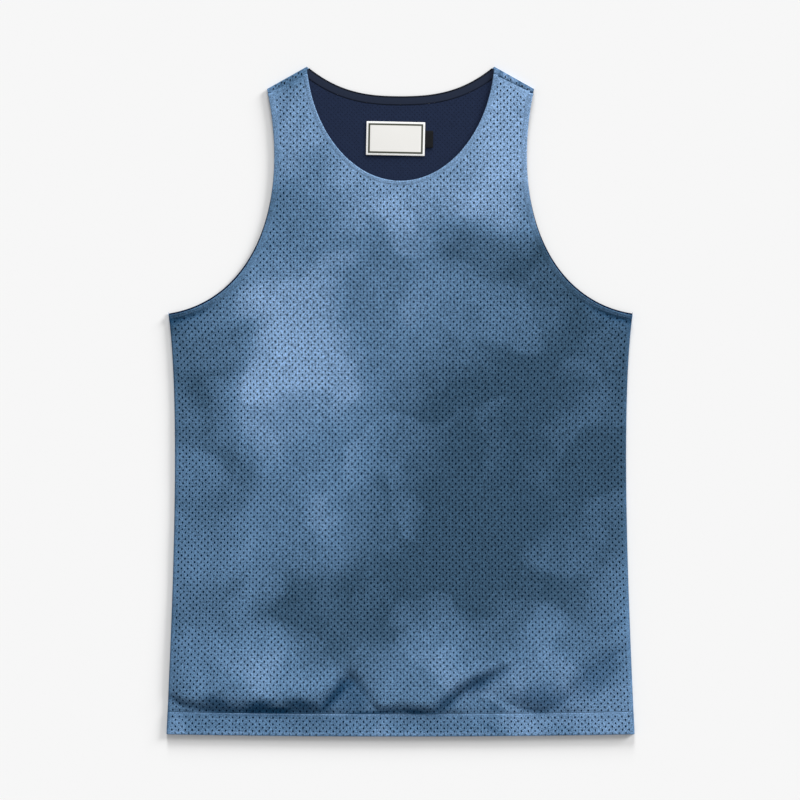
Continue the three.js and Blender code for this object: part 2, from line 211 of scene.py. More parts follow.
# Each row is one soft area of the print: its middle, half sizes, turn in degrees and how much it lightens.
PRINT_CLOUDS = table(
    "x y wide tall turn tone",
    (0.140, -0.070, 0.210, 0.270, -28, -0.55),
    (-0.150, 0.070, 0.130, 0.220, 24, 0.26),
    (-0.070, -0.220, 0.220, 0.100, 15, -0.32),
    (0.060, 0.290, 0.330, 0.140, 0, 0.38),
    (-0.245, -0.080, 0.090, 0.150, 0, -0.20),
    (0.010, -0.330, 0.160, 0.070, 10, 0.05),
    (0.215, -0.330, 0.130, 0.100, 20, 0.06),
    (0.110, 0.160, 0.130, 0.060, -20, -0.26),
    (-0.160, 0.240, 0.100, 0.130, 10, -0.18),
    (-0.165, -0.290, 0.120, 0.060, 10, 0.20),
    # This darker area at the left armpit is partly print and partly painted shade.
    (-0.235, 0.085, 0.120, 0.110, 0, -0.52),
    (0.135, 0.310, 0.070, 0.110, 0, 0.36),
)

# The hem: its lower needle line, its front and back levels, its fold's radius, its lip and its ripple.
GROOVE = 0.0066
GROOVE_HALF = 0.00065
GROOVE_DEPTH = 0.0002
HEM_FRONT_LEVEL = 0.0056
HEM_BACK_LEVEL = 0.0001
HEM_FOLD_RADIUS = 0.00055
HEM_FIRST_HOLES = 0.00475
HEM_HOLE_ROWS = 6
HEM_LIP_DEPTH = 0.00025
HEM_LIP_WIDTH = 0.0009
HEM_LAYERS_APART = 0.0012
HEM_RIPPLE = 0.00022

# The crumples of the hem: the place that they lie round, how far they reach and how high they are.
CRUMPLE_X = 0.100
CRUMPLE_HALF = 0.014
CRUMPLE_HEIGHT = 0.0004

# The hem's painted light: painted shade on the dark lower fold, and a painted highlight on the light roll
# above it and the light rim under the seam.
HEM_SHADE = 0.4
HEM_SHADE_HALF = 0.0012
HEM_ROLL_UP = 0.0030
HEM_ROLL_HALF = 0.0020
HEM_RIM_DOWN = 0.0005
HEM_RIM_HALF = 0.0007

# The panels: the height of their first holes over the hem seam, how far holes stay from other edges, and
# the least and greatest share of its width that a hole has.
PANEL_FIRST_HOLES = 0.0026
HOLE_MARGIN = 0.0006
HOLES_UNDER_SHOULDER_SEAM = 0.003
HOLE_VARIES = (0.88, 1.08)

# How far the front reaches in under its turned edges and the back under the shoulder wraps, and how far
# the back's cloth ends inside its neckline.
FRONT_TUCK = 0.0025
BACK_SHOULDER_TUCK = 0.0005
BACK_NECK_INSET = 0.0004

# Small waves. Broad and fine ones start above the hem seam, puckers stay near it, and none is at the bands.
DRAPE = 0.00050
DRAPE_FINE = 0.00014
DRAPE_START = 0.03
PUCKER = 0.00035
PUCKER_START = 0.002
PUCKER_REACH = 0.009
CALM_BY_BANDS = 0.012
BACK_WAVE = 0.0001

# How deep the front sinks into the hem seam, and over what height.
SEAM_SINK = 0.00025
SEAM_SINK_REACH = 0.0012

# How the back's print is slid from the front's.
BACK_PRINT_OFFSET = (0.31, 0.12, 0)

# The dip beside the armhole's turned edge: its depth, its line's distance from the edge and its half width.
# It grows from one place towards the armpit, and it ends a little before the side.
ARMPIT_DIP = 0.0012
ARMPIT_DIP_LINE = 0.0092
ARMPIT_DIP_HALF = 0.0042
ARMPIT_FROM = 0.19
ARMPIT_GROWS = 0.045
ARMPIT_CALM = 0.005

# The linings: how far they end inside the side seams, in the hem and over it, and inside the other edges.
LINING_SIDE_IN_HEM = 0.0016
LINING_SIDE = 0.0007
LINING_NECK = 0.0002
LINING_SHOULDER = 0.0024
LINING_COLUMNS = 130
LINING_ROWS = 170
LINING_WAVE = 0.00008

# How many steps the turned edges and the tape have along their lines, and the tape's height over the lining.
NECK_STEPS = 240
ARMHOLE_STEPS = 170
BACK_NECK_STEPS = 200
TAPE_LIFT = 0.00014

# The shoulder wraps: the cloth between the front seam and the fold, how far holes stay from its ends, the
# strip that goes in under the seam, and how far from the seam the cloth is drawn in.
WRAP_FRONT = 0.0042
WRAP_TURN = math.pi * (FRONT_LEVEL - BACK_LEVEL) / 2
WRAP_FIRST_HOLES = 0.0023
WRAP_END = 0.006
WRAP_UNDER = 0.0012
WRAP_UNDER_DROP = 0.001
WRAP_SINK_REACH = 0.0005

# The label's place, from its solid: a patch turned slightly clockwise, with a tab at its right.
LABEL_TURN = -0.020
LABEL_MIDDLE = sum(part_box("label"), Vector((-0.0005, -0.0012, 0))) / 2
LABEL_WIDE = 0.0656
LABEL_TALL = 0.0377
LABEL_LEVEL = BACK_LINING_LEVEL + 0.0009
LABEL_BOW = 0.0007
LABEL_WAVE = Vector((60, 40))
LABEL_WAVE_SHIFT = 0.6
TAB_WIDE = 0.009
TAB_TALL = 0.019
TAB_REACH = (LABEL_WIDE + TAB_WIDE) / 2 + 0.0003
TAB_LEVEL = BACK_LINING_LEVEL + 0.0008
TAB_BOW = 0.0002
PATCH_THICK = 0.0005
PATCH_CORNER = 0.0006
PATCH_RIM = 0.00012
PATCH_PARTS = 9

# The stitches: the share of a stitch's length that its thread covers, the threads' radii and their places.
STITCH_SHARE = 0.78
HEM_THREAD = 0.00022
EDGE_THREAD = 0.00015
LABEL_THREAD = 0.00014
HEM_STITCHES_UNDER_SEAM = 0.0011
HEM_STITCHES_FROM_SIDE = 0.003
NECK_STITCHES_FROM_BORDER = 0.0012
ARMHOLE_STITCHES_FROM_BORDER = 0.0013
LABEL_STITCHES_FROM_EDGE = 0.0008
LABEL_STITCH = 0.0022
LABEL_STITCH_SHARE = 0.7

# The photo's view: its whole width at the jersey, the place under its middle, and the light.
VIEW_WIDTH = 0.8968
VIEW_MIDDLE = (-0.0006, 0.00165)
CAMERA_HEIGHT = 3.0
FILM_WIDTH = 36
FLOOR_HALF = 4.0
LAMPS = (
    {"name": "top_light", "azimuth": 92, "height": 17.5, "spread": 18, "strength": 2.695},
    {"name": "right_light", "azimuth": 35, "height": 20, "spread": 24, "strength": 2.84},
)
SKY_STRENGTH = 0.428

random.seed(11)


# The pattern's lines


def pattern_line(first, last, leave, arrive, steps=1200):
    """A cubic line from first to last. Its handles are measured from each end."""
    ends = [first, first + Vector(leave), last + Vector(arrive), last]
    return [p.to_2d() for p in geometry.interpolate_bezier(*[e.to_3d() for e in ends], steps)]


def moved(line, distance):
    """The line moved to the left of its own direction, by one distance or by one for each point."""
    points = np.array([tuple(p) for p in line])
    along = np.gradient(points, axis=0)
    along /= np.linalg.norm(along, axis=1)[:, None]
    far = np.broadcast_to(distance, len(points))[:, None]
    return [Vector(p) for p in points + far * np.column_stack([-along[:, 1], along[:, 0]])]


def mirrored(line):
    """The same line on the left half, run the other way."""
    return [Vector((-p.x, p.y)) for p in reversed(line)]


FRONT_NECK = pattern_line(NECK_POINT, FRONT_NECK_LOW, (-0.006, -0.075), (0.052, 0))
BACK_NECK = pattern_line(NECK_POINT, BACK_NECK_LOW, (-0.036, -0.030), (0.035, 0))
ARMHOLE = pattern_line(SHOULDER_TIP, ARMPIT, (-0.0275, -0.131), (-0.094, 0.0145))
SIDE_SEAM = pattern_line(ARMPIT, HEM_CORNER, (-0.015, -0.110), (-0.005, 0.109))
SIDE_Y = np.array([p.y for p in reversed(SIDE_SEAM)])
SIDE_X = np.array([p.x for p in reversed(SIDE_SEAM)])
SHOULDER_ALONG = (SHOULDER_TIP - NECK_POINT).normalized()
SHOULDER_INWARD = Vector((SHOULDER_ALONG.y, -SHOULDER_ALONG.x))


def half_width(y):
    """Half the body's width at y. Above the armpit it stays as wide as the chest."""
    return np.interp(y, SIDE_Y, SIDE_X)


def hem_line(x, height):
    """The height of the hem at x: it hangs a little lower in the middle."""
    return BOTTOM + height + HEM_SAG * (x / HEM_HALF) ** 2


def smooth(t):
    """Eases from 0 to 1."""
    t = np.clip(t, 0, 1)
    return t * t * (3 - 2 * t)


def bell(off, width):
    """1 at no offset, falling smoothly to nothing past the width."""
    return np.exp(-((off / width) ** 2))


class Cut:
    """Where one cloth layer ends at the neck, the armholes and the shoulders."""

    def __init__(self, neck, neck_inset, arm_inset, seam_at_neck, seam_at_arm):
        self.neck = moved(neck, neck_inset)
        self.arm = moved(ARMHOLE, -arm_inset)
        self.seam_from = NECK_POINT + SHOULDER_INWARD * seam_at_neck
        seam_to = SHOULDER_TIP + SHOULDER_INWARD * seam_at_arm
        self.seam_along = (seam_to - self.seam_from).normalized()
        reach = (seam_to - self.seam_from).length
        seam = [self.seam_from + self.seam_along * reach * k / 200 for k in range(-20, 221)]
        self.edge = Nearest(self.neck + self.arm + seam)
        self.neck_y = np.array([p.y for p in reversed(self.neck)])
        self.neck_x = np.array([p.x for p in reversed(self.neck)])
        self.arm_y = np.array([p.y for p in reversed(self.arm)])
        self.arm_x = np.array([p.x for p in reversed(self.arm)])

    def holds(self, x, y):
        """True if the layer reaches the place (x, y)."""
        x = abs(x)
        if y > self.neck_y[0] and x < np.interp(y, self.neck_y, self.neck_x):
            return False
        if y > self.arm_y[0] and x > np.interp(y, self.arm_y, self.arm_x):
            return False
        off = Vector((x, y)) - self.seam_from
        return self.seam_along.cross(off) < 0


class Nearest:
    """The nearest point of some lines of the right half, for a place on either half."""

    def __init__(self, points):
        self.tree = kdtree.KDTree(len(points))
        for k, p in enumerate(points):
            self.tree.insert((p.x, p.y, 0), k)
        self.tree.balance()

    def distance(self, x, y):
        return self.tree.find((abs(x), y, 0))[2]

    def distances(self, x, y):
        return np.array([self.distance(a, b) for a, b in zip(x, y)])

    def point(self, x, y):
        found = self.tree.find((abs(x), y, 0))[0]
        return Vector((math.copysign(found.x, x), found.y))


NEAR_FRONT_NECK = Nearest(FRONT_NECK)
NEAR_BACK_NECK = Nearest(BACK_NECK)
NEAR_ARMHOLE = Nearest(ARMHOLE)


# The cloth's folds


def wander(x, y, scale, seed):
    """Smooth noise from about -1 to 1 over arrays of places."""
    return np.array([noise.noise((a * scale, b * scale, seed)) for a, b in zip(x, y)])


def fold_profile(distance, slope):
    """How high the cloth stands at a distance from a trough, as a share of its rise."""
    d = np.abs(distance)
    above = 1.25 * (1 - np.exp(-((d / slope) ** 1.5))) * np.exp(-d / FOLD_REACH)
    below = LIP_SHARE * (1 - np.exp(-((d / LIP_STEEP) ** 1.5))) * np.exp(-d / LIP_REACH)
    return np.where(distance > 0, above, below)


def chain_at(chain, x, y):
    """The distance above a chain of troughs at arrays of places, with its rise and slope there."""
    line = np.interp(x, [p["x"] for p in chain], [p["y"] for p in chain])
    nearest = np.full(len(x), 1e9)
    rise, slope, total = np.zeros(len(x)), np.zeros(len(x)), np.zeros(len(x))
    for a, b in zip(chain, chain[1:]):
        dx, dy = b["x"] - a["x"], b["y"] - a["y"]
        t = np.clip(((x - a["x"]) * dx + (y - a["y"]) * dy) / (dx * dx + dy * dy), 0, 1)
        away = np.hypot(x - a["x"] - t * dx, y - a["y"] - t * dy)
        weight = (away + CHAIN_JOIN) ** -4
        rise += weight * (a["rise"] + t * (b["rise"] - a["rise"]))
        slope += weight * (a["slope"] + t * (b["slope"] - a["slope"]))
        total += weight
        nearest = np.minimum(nearest, away)
    past = np.maximum(np.maximum(chain[0]["x"] - x, x - chain[-1]["x"]), 0)
    fade = bell(past, CHAIN_FADE)
    return np.where(y >= line, nearest, -nearest), fade * rise / total, slope / total


def turned(x, y, row):
    """Places seen from the middle of a turned row of a table: along it and across it."""
    turn = math.radians(row["turn"])
    dx, dy = x - row["x"], y - row["y"]
    return dx * math.cos(turn) + dy * math.sin(turn), dy * math.cos(turn) - dx * math.sin(turn)


def near_armpit(x):
    """Rises from 0 to 1 towards the armpits."""
    return smooth((np.abs(x) - ARMPIT_FROM) / ARMPIT_GROWS)


def armpit_dip(x, y):
    """How far the cloth sinks along the armhole's turned edge towards the armpit."""
    from_side = smooth((half_width(y) - np.abs(x)) / ARMPIT_CALM)
    line = bell(NEAR_ARMHOLE.distances(x, y) - ARMPIT_DIP_LINE, ARMPIT_DIP_HALF)
    return ARMPIT_DIP * near_armpit(x) * from_side * line


def painted_shade_amount(x, y):
    """How much painted shade each place gets, from 0 to 1: in the folds' troughs and shaded areas, beside the
    armholes' turned edges towards the armpits, and along the sides below them. The cloth is darker there.
    """
    depth = np.zeros(len(x))
    ragged = 1 + 0.30 * wander(x, y, 75, 7.7)
    for chain in FOLD_CHAINS:
        distance, rise, slope = chain_at(chain, x, y)
        reach = np.where(distance > 0, SHADE_ABOVE * slope, SHADE_BELOW)
        strong = np.clip(rise / FULL_RISE, 0, 1) ** 1.5
        depth = np.maximum(depth, 0.8 * bell(distance, reach) * strong)
    for shade in FOLD_SHADES:
        along, across = turned(x, y, shade)
        far = np.hypot(along / shade["wide"], across / shade["tall"])
        depth = np.maximum(depth, shade["depth"] * np.exp(-(far * ragged) ** 3))
    patchy = 0.94 + 0.28 * wander(x, y, 60, 12.4)
    # Painted shade beside the armholes' turned edges towards the armpits, and along the sides below them.
    arm = NEAR_ARMHOLE.distances(x, y)
    corner = 0.5 * bell(arm - 0.0085, 0.0032) + 0.3 * bell(arm - 0.008, 0.014)
    side = 0.55 * bell(half_width(y) - np.abs(x), 0.0012) * (y < ARMPIT.y)
    return np.clip(depth * patchy + corner * near_armpit(x) + side, 0, 1)


def painted_highlight(x, y):
    """How much painted highlight lightens the cloth along the rolled edge of the front neck."""
    return 0.8 * bell(NEAR_FRONT_NECK.distances(x, y) - 0.0008, 0.0011)


def front_painted_light(points):
    """The painted shade in the creases and the painted highlight on the rims of the front's cloth, point by
    point.
    """
    x, y = points[:, 0], points[:, 1]
    return {"painted_shade": painted_shade_amount(x, y), "painted_highlight": painted_highlight(x, y)}


def relief(x, y):
    """The height of the front's folds and swells over the flat layers."""
    height = np.zeros(len(x))
    for chain in FOLD_CHAINS:
        distance, rise, slope = chain_at(chain, x, y)
        height += rise * fold_profile(distance, slope)
    for s in SWELLS:
        along, across = turned(x, y, s)
        height = height + s["height"] * bell(along, s["length"]) * bell(across, s["width"])
    pinch = smooth((y - hem_line(x, hem_height())) / SEAM_PINCH)
    side = SIDE_SHARE + (1 - SIDE_SHARE) * smooth((half_width(y) - np.abs(x)) / SIDE_CALM)
    chest = 1 - smooth((y - CHEST_CALM) / (ARMPIT.y - CHEST_CALM))
    return height * pinch * side * chest


def hem_height():
    """The height of the turned hem, from the settings."""
    return bpy.context.scene.jersey_sizes.hem_height


# Making pieces


def column_shares(half_columns):
    """Columns from side to side as shares of the half width. Lattice columns also carry a number."""
    turn = SIDE_TURN / CHEST_HALF
    edge = [(1 - turn * (1 - s), None) for s in SIDE_SHARES] + [(1.0, None)]
    inner = [((1 - turn) * k / half_columns, k) for k in range(-half_columns, half_columns + 1)]
    return [(-s, k) for s, k in reversed(edge)] + inner + edge


def lattice_rows(first, count, pitch, extra=()):
    """Heights of lattice rows, each with its number, among the extra heights that have none."""
    rows = [(first + pitch * k, k) for k in range(count)] + [(height, None) for height in extra]
    return sorted(rows)


def lattice(columns, rows, flat, spare, cut=None):
    """A flat sheet with a staggered hole at every second lattice point, where spare(x, y) allows one."""
    sizes = bpy.context.scene.jersey_sizes
    bm = bmesh.new()
    bmesh.ops.create_grid(bm, x_segments=len(columns) - 1, y_segments=len(rows) - 1, size=1.0)
    middles = []
    for v in bm.verts:
        share, i = columns[round((v.co.x + 1) / 2 * (len(columns) - 1))]
        height, j = rows[round((v.co.y + 1) / 2 * (len(rows) - 1))]
        x, y = flat(share, height)
        v.co = (x, y, 0)
        if i is not None and j is not None and (i + j) % 2 == 0:
            middles.append(v)
    if cut:
        trim(bm, cut)
    middles = [v for v in middles if v.is_valid and spare(v.co.x, v.co.y)]
    stretch = sizes.hole_height / sizes.hole_width
    bmesh.ops.scale(bm, vec=(1, 1 / stretch, 1), verts=bm.verts)
    radius = sizes.hole_width / 2
    made = bmesh.ops.bevel(
        bm, geom=middles, offset=radius, offset_type="OFFSET", segments=2, profile=0.5,
        affect="VERTICES", material=-1, clamp_overlap=False)
    inside = set(made["faces"])
    for v in made["verts"]:
        if all(f in inside for f in v.link_faces):
            wide = radius * random.uniform(*HOLE_VARIES)
            for rim in {w for f in v.link_faces for w in f.verts} - {v}:
                rim.co = v.co + (rim.co - v.co).normalized() * wide
    bmesh.ops.delete(bm, geom=made["faces"], context="FACES")
    bmesh.ops.scale(bm, vec=(1, stretch, 1), verts=bm.verts)
    return bm


def trim(bm, cut):
    """Cuts a flat sheet to the neck, armhole and shoulder lines, and pulls its new edge onto them."""
    before = {v for v in bm.verts if v.is_boundary}
    gone = [f for f in bm.faces if not cut.holds(*f.calc_center_median().xy)]
    bmesh.ops.delete(bm, geom=gone, context="FACES")
    pulled = [v for v in bm.verts if v.is_boundary and v not in before]
    for v in pulled:
        v.co.xy = cut.edge.point(v.co.x, v.co.y)
    bmesh.ops.remove_doubles(bm, verts=pulled, dist=1e-5)


def mesh_of(bm, name):
    """The mesh of a finished bmesh."""
    mesh = bpy.data.meshes.new(name)
    bm.to_mesh(mesh)
    bm.free()
    return mesh


def add_object(name, data):
    """A new object at the origin, linked to the scene."""
    made = bpy.data.objects.new(name, data)
    bpy.context.scene.collection.objects.link(made)
    return made


def shaped(bm, form, painted_light=None):
    """Gives a flat mesh its form, from an array of points to another, and the painted light and shade of its
    flat places.
    """
    mesh = mesh_of(bm, "sheet")
    points = np.zeros(len(mesh.vertices) * 3)
    mesh.vertices.foreach_get("co", points)
    points = points.reshape(-1, 3)
    for name, values in (painted_light(points) if painted_light else {}).items():
        mesh.attributes.new(name, "FLOAT", "POINT").data.foreach_set("value", values)
    mesh.vertices.foreach_set("co", form(points).ravel())
    mesh.update()
    return mesh


def add_piece(name, mesh, material, slot, *nodes):
    """A smooth-shaded object at the origin that rides on the body and stands for the named nodes."""
    mesh.name = name
    mesh.polygons.foreach_set("use_smooth", [True] * len(mesh.polygons))
    mesh.materials.append(material)
    piece = add_object(name, mesh)
    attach(piece, "root")
    if nodes:
        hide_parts(*nodes)


def sweep(line, section, steps, drawn_in=None):
    """A strip along a line. Each row of the section is (inset, height), inset to the line's right."""
    points = [line[round(k)] for k in np.linspace(0, len(line) - 1, steps + 1)]
    more = 0 if drawn_in is None else np.array([drawn_in(p) for p in points])
    rows = list(section) + [section[0]]
    bm = bmesh.new()
    bmesh.ops.create_grid(bm, x_segments=len(points) - 1, y_segments=len(rows) - 1, size=1.0)
    lines = [moved(points, -inset - more) for inset, _ in rows]
    lengths = lengths_along(points)
    uv = bm.loops.layers.uv.new("UVMap")
    place = {}
    for v in bm.verts:
        i = round((v.co.x + 1) / 2 * (len(points) - 1))
        j = round((v.co.y + 1) / 2 * (len(rows) - 1))
        place[v] = (lengths[i], rows[j][0])
        v.co = (*lines[j][i], rows[j][1])
    for face in bm.faces:
        for loop in face.loops:
            loop[uv].uv = place[loop.vert]
    bmesh.ops.remove_doubles(bm, verts=bm.verts, dist=1e-6)
    bmesh.ops.holes_fill(bm, edges=[e for e in bm.edges if e.is_boundary], sides=0)
    bmesh.ops.recalc_face_normals(bm, faces=bm.faces)
    return mesh_of(bm, "strip")


def whole_neck(line):
    """A neckline from the left shoulder through its lowest point to the right one."""
    return mirrored(line)[::-1] + list(reversed(line))[1:]


def below_seam(line, gap):
    """The stretch of an armhole or neck line that lies below the front shoulder seam."""
    start = NECK_POINT + SHOULDER_INWARD * (SEAM_AT_NECK + gap)
    along = (SHOULDER_TIP + SHOULDER_INWARD * (SEAM_AT_ARMHOLE + gap) - start).normalized()
    return [p for p in line if along.cross(Vector((abs(p.x), p.y)) - start) < 0]


# Shader graphs


class Graph:
    """A short way to add nodes to a shader tree and join them."""

    def __init__(self, tree):
        self.tree = tree

    def add(self, kind, inputs=None, **settings):
        node = self.tree.nodes.new(kind)
        for name, value in settings.items():
            setattr(node, name, value)
        for name, value in (inputs or {}).items():
            self.feed(node.inputs[name], value)
        return node

    def feed(self, socket, value):
        if isinstance(value, bpy.types.NodeSocket):
            self.tree.links.new(value, socket)
        else:
            socket.default_value = value

    def maths(self, operation, *values, clamp=False):
        node = self.add("ShaderNodeMath", operation=operation, use_clamp=clamp)
        for socket, value in zip(node.inputs, values):
            self.feed(socket, value)
        return node.outputs[0]

    def split(self, vector):
        return self.add("ShaderNodeSeparateXYZ", {"Vector": vector}).outputs

    def span(self, value, low, high, to_low=0.0, to_high=1.0, ease=True):
        kind = "SMOOTHSTEP" if ease else "LINEAR"
        values = {"Value": value, "From Min": low, "From Max": high, "To Min": to_low, "To Max": to_high}
        return self.add("ShaderNodeMapRange", values, interpolation_type=kind).outputs[0]

    def ramp(self, value, stops):
        node = self.add("ShaderNodeValToRGB", {"Fac": value})
        ramp = node.color_ramp
        ramp.interpolation = "LINEAR"
        while len(ramp.elements) < len(stops):
            ramp.elements.new(0.5)
        for element, (position, colour) in zip(ramp.elements, stops):
            element.position = position
            element.color = (*colour, 1)
        return node.outputs[0]

    def tinted(self, colour, shade):
        """A colour multiplied by a grey value."""
        grey = self.add("ShaderNodeCombineColor", {"Red": shade, "Green": shade, "Blue": shade}).outputs[0]
        node = self.add("ShaderNodeMix", data_type="RGBA", blend_type="MULTIPLY")
        self.feed(node.inputs["Factor"], 1.0)
        self.feed(node.inputs[6], colour)
        self.feed(node.inputs[7], grey)
        return node.outputs[2]

    def mixed(self, share, first, second):
        node = self.add("ShaderNodeMix", data_type="RGBA")
        self.feed(node.inputs["Factor"], share)
        self.feed(node.inputs[6], first)
        self.feed(node.inputs[7], second)
        return node.outputs[2]


def group_tree(name, inputs, outputs):
    """A new shader node group with named sockets, as its graph, its input sockets and its output node."""
    tree = bpy.data.node_groups.new(name, "ShaderNodeTree")
    for label, kind, value in inputs:
        socket = tree.interface.new_socket(label, in_out="INPUT", socket_type=kind)
        if value is not None:
            socket.default_value = value
    for label, kind in outputs:
        tree.interface.new_socket(label, in_out="OUTPUT", socket_type=kind)
    graph = Graph(tree)
    return graph, graph.add("NodeGroupInput").outputs, graph.add("NodeGroupOutput")


def knit_group():
    """Interlocked knit loops: their height, and a grain that differs from yarn to yarn."""
    if "Knit Loops" in bpy.data.node_groups:
        return bpy.data.node_groups["Knit Loops"]
    inputs = [
        ("Vector", "NodeSocketVector", None),
        ("Wale", "NodeSocketFloat", 0.0012),
        ("Course", "NodeSocketFloat", 0.0009),
    ]
    outputs = [("Height", "NodeSocketFloat"), ("Grain", "NodeSocketFloat")]
    g, given, out = group_tree("Knit Loops", inputs, outputs)
    x, y, _ = g.split(given["Vector"])
    across = g.maths("DIVIDE", x, given["Wale"])
    up = g.maths("DIVIDE", y, given["Course"])
    offset = g.maths("ABSOLUTE", g.maths("SUBTRACT", g.maths("FRACT", across), 0.5))
    slant = g.maths("MULTIPLY_ADD", offset, 1.3, up)
    wave = g.maths("COSINE", g.maths("MULTIPLY", slant, 2 * math.pi))
    ridge = g.maths("MULTIPLY_ADD", wave, 0.5, 0.5)
    leg = g.maths("MULTIPLY", g.maths("SUBTRACT", offset, 0.25), 4.0)
    leg = g.maths("SUBTRACT", 1.0, g.maths("MULTIPLY", leg, leg))
    g.feed(out.inputs["Height"], g.maths("MULTIPLY", ridge, leg))
    cell = g.add("ShaderNodeCombineXYZ", {
        "X": g.maths("FLOOR", g.maths("MULTIPLY", across, 2.0)),
        "Y": g.maths("FLOOR", slant),
    })
    yarn = g.add("ShaderNodeTexWhiteNoise", {"Vector": cell.outputs[0]}, noise_dimensions="3D")
    yarn = g.maths("MULTIPLY", yarn.outputs["Value"], 0.45)
    heather = g.add("ShaderNodeTexNoise", {
        "Vector": given["Vector"], "Scale": 760.0, "Detail": 2.0, "Roughness": 0.6,
    }).outputs["Fac"]
    heather = g.span(heather, 0.3, 0.7, ease=False)
    g.feed(out.inputs["Grain"], g.maths("ADD", yarn, g.maths("MULTIPLY", heather, 0.55)))
    return g.tree


def mesh_dots_group():
    """Staggered small round eyelets of a fine mesh, as a mask that is 1 inside them."""
    if "Mesh Eyelets" in bpy.data.node_groups:
        return bpy.data.node_groups["Mesh Eyelets"]
    inputs = [
        ("Vector", "NodeSocketVector", None),
        ("Across", "NodeSocketFloat", 0.0052),
        ("Up", "NodeSocketFloat", 0.0026),
        ("Radius", "NodeSocketFloat", 0.0006),
    ]
    g, given, out = group_tree("Mesh Eyelets", inputs, [("Eyelet", "NodeSocketFloat")])
    x, y, _ = g.split(given["Vector"])
    row = g.maths("DIVIDE", y, given["Up"])
    shift = g.maths("MULTIPLY", g.maths("MODULO", g.maths("FLOOR", row), 2.0), 0.5)
    column = g.maths("ADD", g.maths("DIVIDE", x, given["Across"]), shift)
    dx = g.maths("MULTIPLY", g.maths("SUBTRACT", g.maths("FRACT", column), 0.5), given["Across"])
    dy = g.maths("MULTIPLY", g.maths("SUBTRACT", g.maths("FRACT", row), 0.5), given["Up"])
    away = g.maths("SQRT", g.maths("ADD", g.maths("MULTIPLY", dx, dx), g.maths("MULTIPLY", dy, dy)))
    near = g.maths("DIVIDE", away, given["Radius"])
    g.feed(out.inputs["Eyelet"], g.span(near, 1.3, 0.7))
    return g.tree


def print_group():
    """The soft clouded print, as a tone from 0, dark, to 1, light."""
    if "Clouded Print" in bpy.data.node_groups:
        return bpy.data.node_groups["Clouded Print"]
    g, given, out = group_tree(
        "Clouded Print", [("Vector", "NodeSocketVector", None)], [("Tone", "NodeSocketFloat")])
    warp = g.add("ShaderNodeTexNoise", {
        "Vector": given["Vector"], "Scale": 7.0, "Detail": 3.0, "Roughness": 0.5,
    }).outputs["Color"]
    centred = g.add("ShaderNodeVectorMath", operation="SUBTRACT")
    g.feed(centred.inputs[0], warp)
    g.feed(centred.inputs[1], (0.5, 0.5, 0.5))
    bent = g.add("ShaderNodeVectorMath", operation="MULTIPLY_ADD")
    g.feed(bent.inputs[0], centred.outputs[0])
    g.feed(bent.inputs[1], (0.15, 0.15, 0.0))
    g.feed(bent.inputs[2], given["Vector"])
    tone = PRINT_TONE
    for cloud in PRINT_CLOUDS:
        local = g.add("ShaderNodeMapping", {
            "Vector": bent.outputs[0],
            "Location": (cloud["x"], cloud["y"], 0),
            "Rotation": (0, 0, math.radians(cloud["turn"])),
            "Scale": (cloud["wide"], cloud["tall"], 1),
        }, vector_type="TEXTURE")
        ball = g.add("ShaderNodeTexGradient", {"Vector": local.outputs[0]}, gradient_type="SPHERICAL")
        soft = g.span(ball.outputs["Fac"], 0.0, 0.75)
        tone = g.maths("MULTIPLY_ADD", soft, cloud["tone"], tone)
    drift = g.add("ShaderNodeTexNoise", {
        "Vector": given["Vector"], "Scale": 15.0, "Detail": 4.0, "Roughness": 0.5, "Distortion": 0.5,
    }).outputs["Fac"]
    tone = g.maths("MULTIPLY_ADD", g.maths("SUBTRACT", drift, 0.5), 0.62, tone)
    island = g.add("ShaderNodeTexNoise", {
        "Vector": bent.outputs[0], "Scale": 8.0, "Detail": 1.5, "Roughness": 0.4,
    }).outputs["Fac"]
    island = g.span(island, 0.49, 0.56)
    tone = g.maths("MULTIPLY_ADD", g.maths("SUBTRACT", island, 0.5), 0.15, tone, clamp=True)
    g.feed(out.inputs["Tone"], tone)
    return g.tree


def new_material(name, roughness=0.5, specular=0.5):
    """A material with a bare Principled surface, and the graph to build it in."""
    material = bpy.data.materials.new(name)
    material.use_nodes = True
    tree = material.node_tree
    surface = tree.nodes["Principled BSDF"]
    surface.inputs["Roughness"].default_value = roughness
    surface.inputs["Specular IOR Level"].default_value = specular
    return material, Graph(tree), surface


def use_group(g, tree, **inputs):
    """The outputs of a shared group, fed with the given inputs."""
    node = g.add("ShaderNodeGroup", node_tree=tree)
    for name, value in inputs.items():
        g.feed(node.inputs[name], value)
    return node.outputs


def object_place(g):
    """The place on the piece, in metres."""
    return g.add("ShaderNodeTexCoord").outputs["Object"]


def bumped(g, surface, height, depth, strength=1.0):
    """Raises the surface by a height from 0 to 1, which stands for the depth in metres."""
    bump = g.add("ShaderNodeBump", {"Height": height, "Distance": depth, "Strength": strength})
    g.feed(surface.inputs["Normal"], bump.outputs[0])


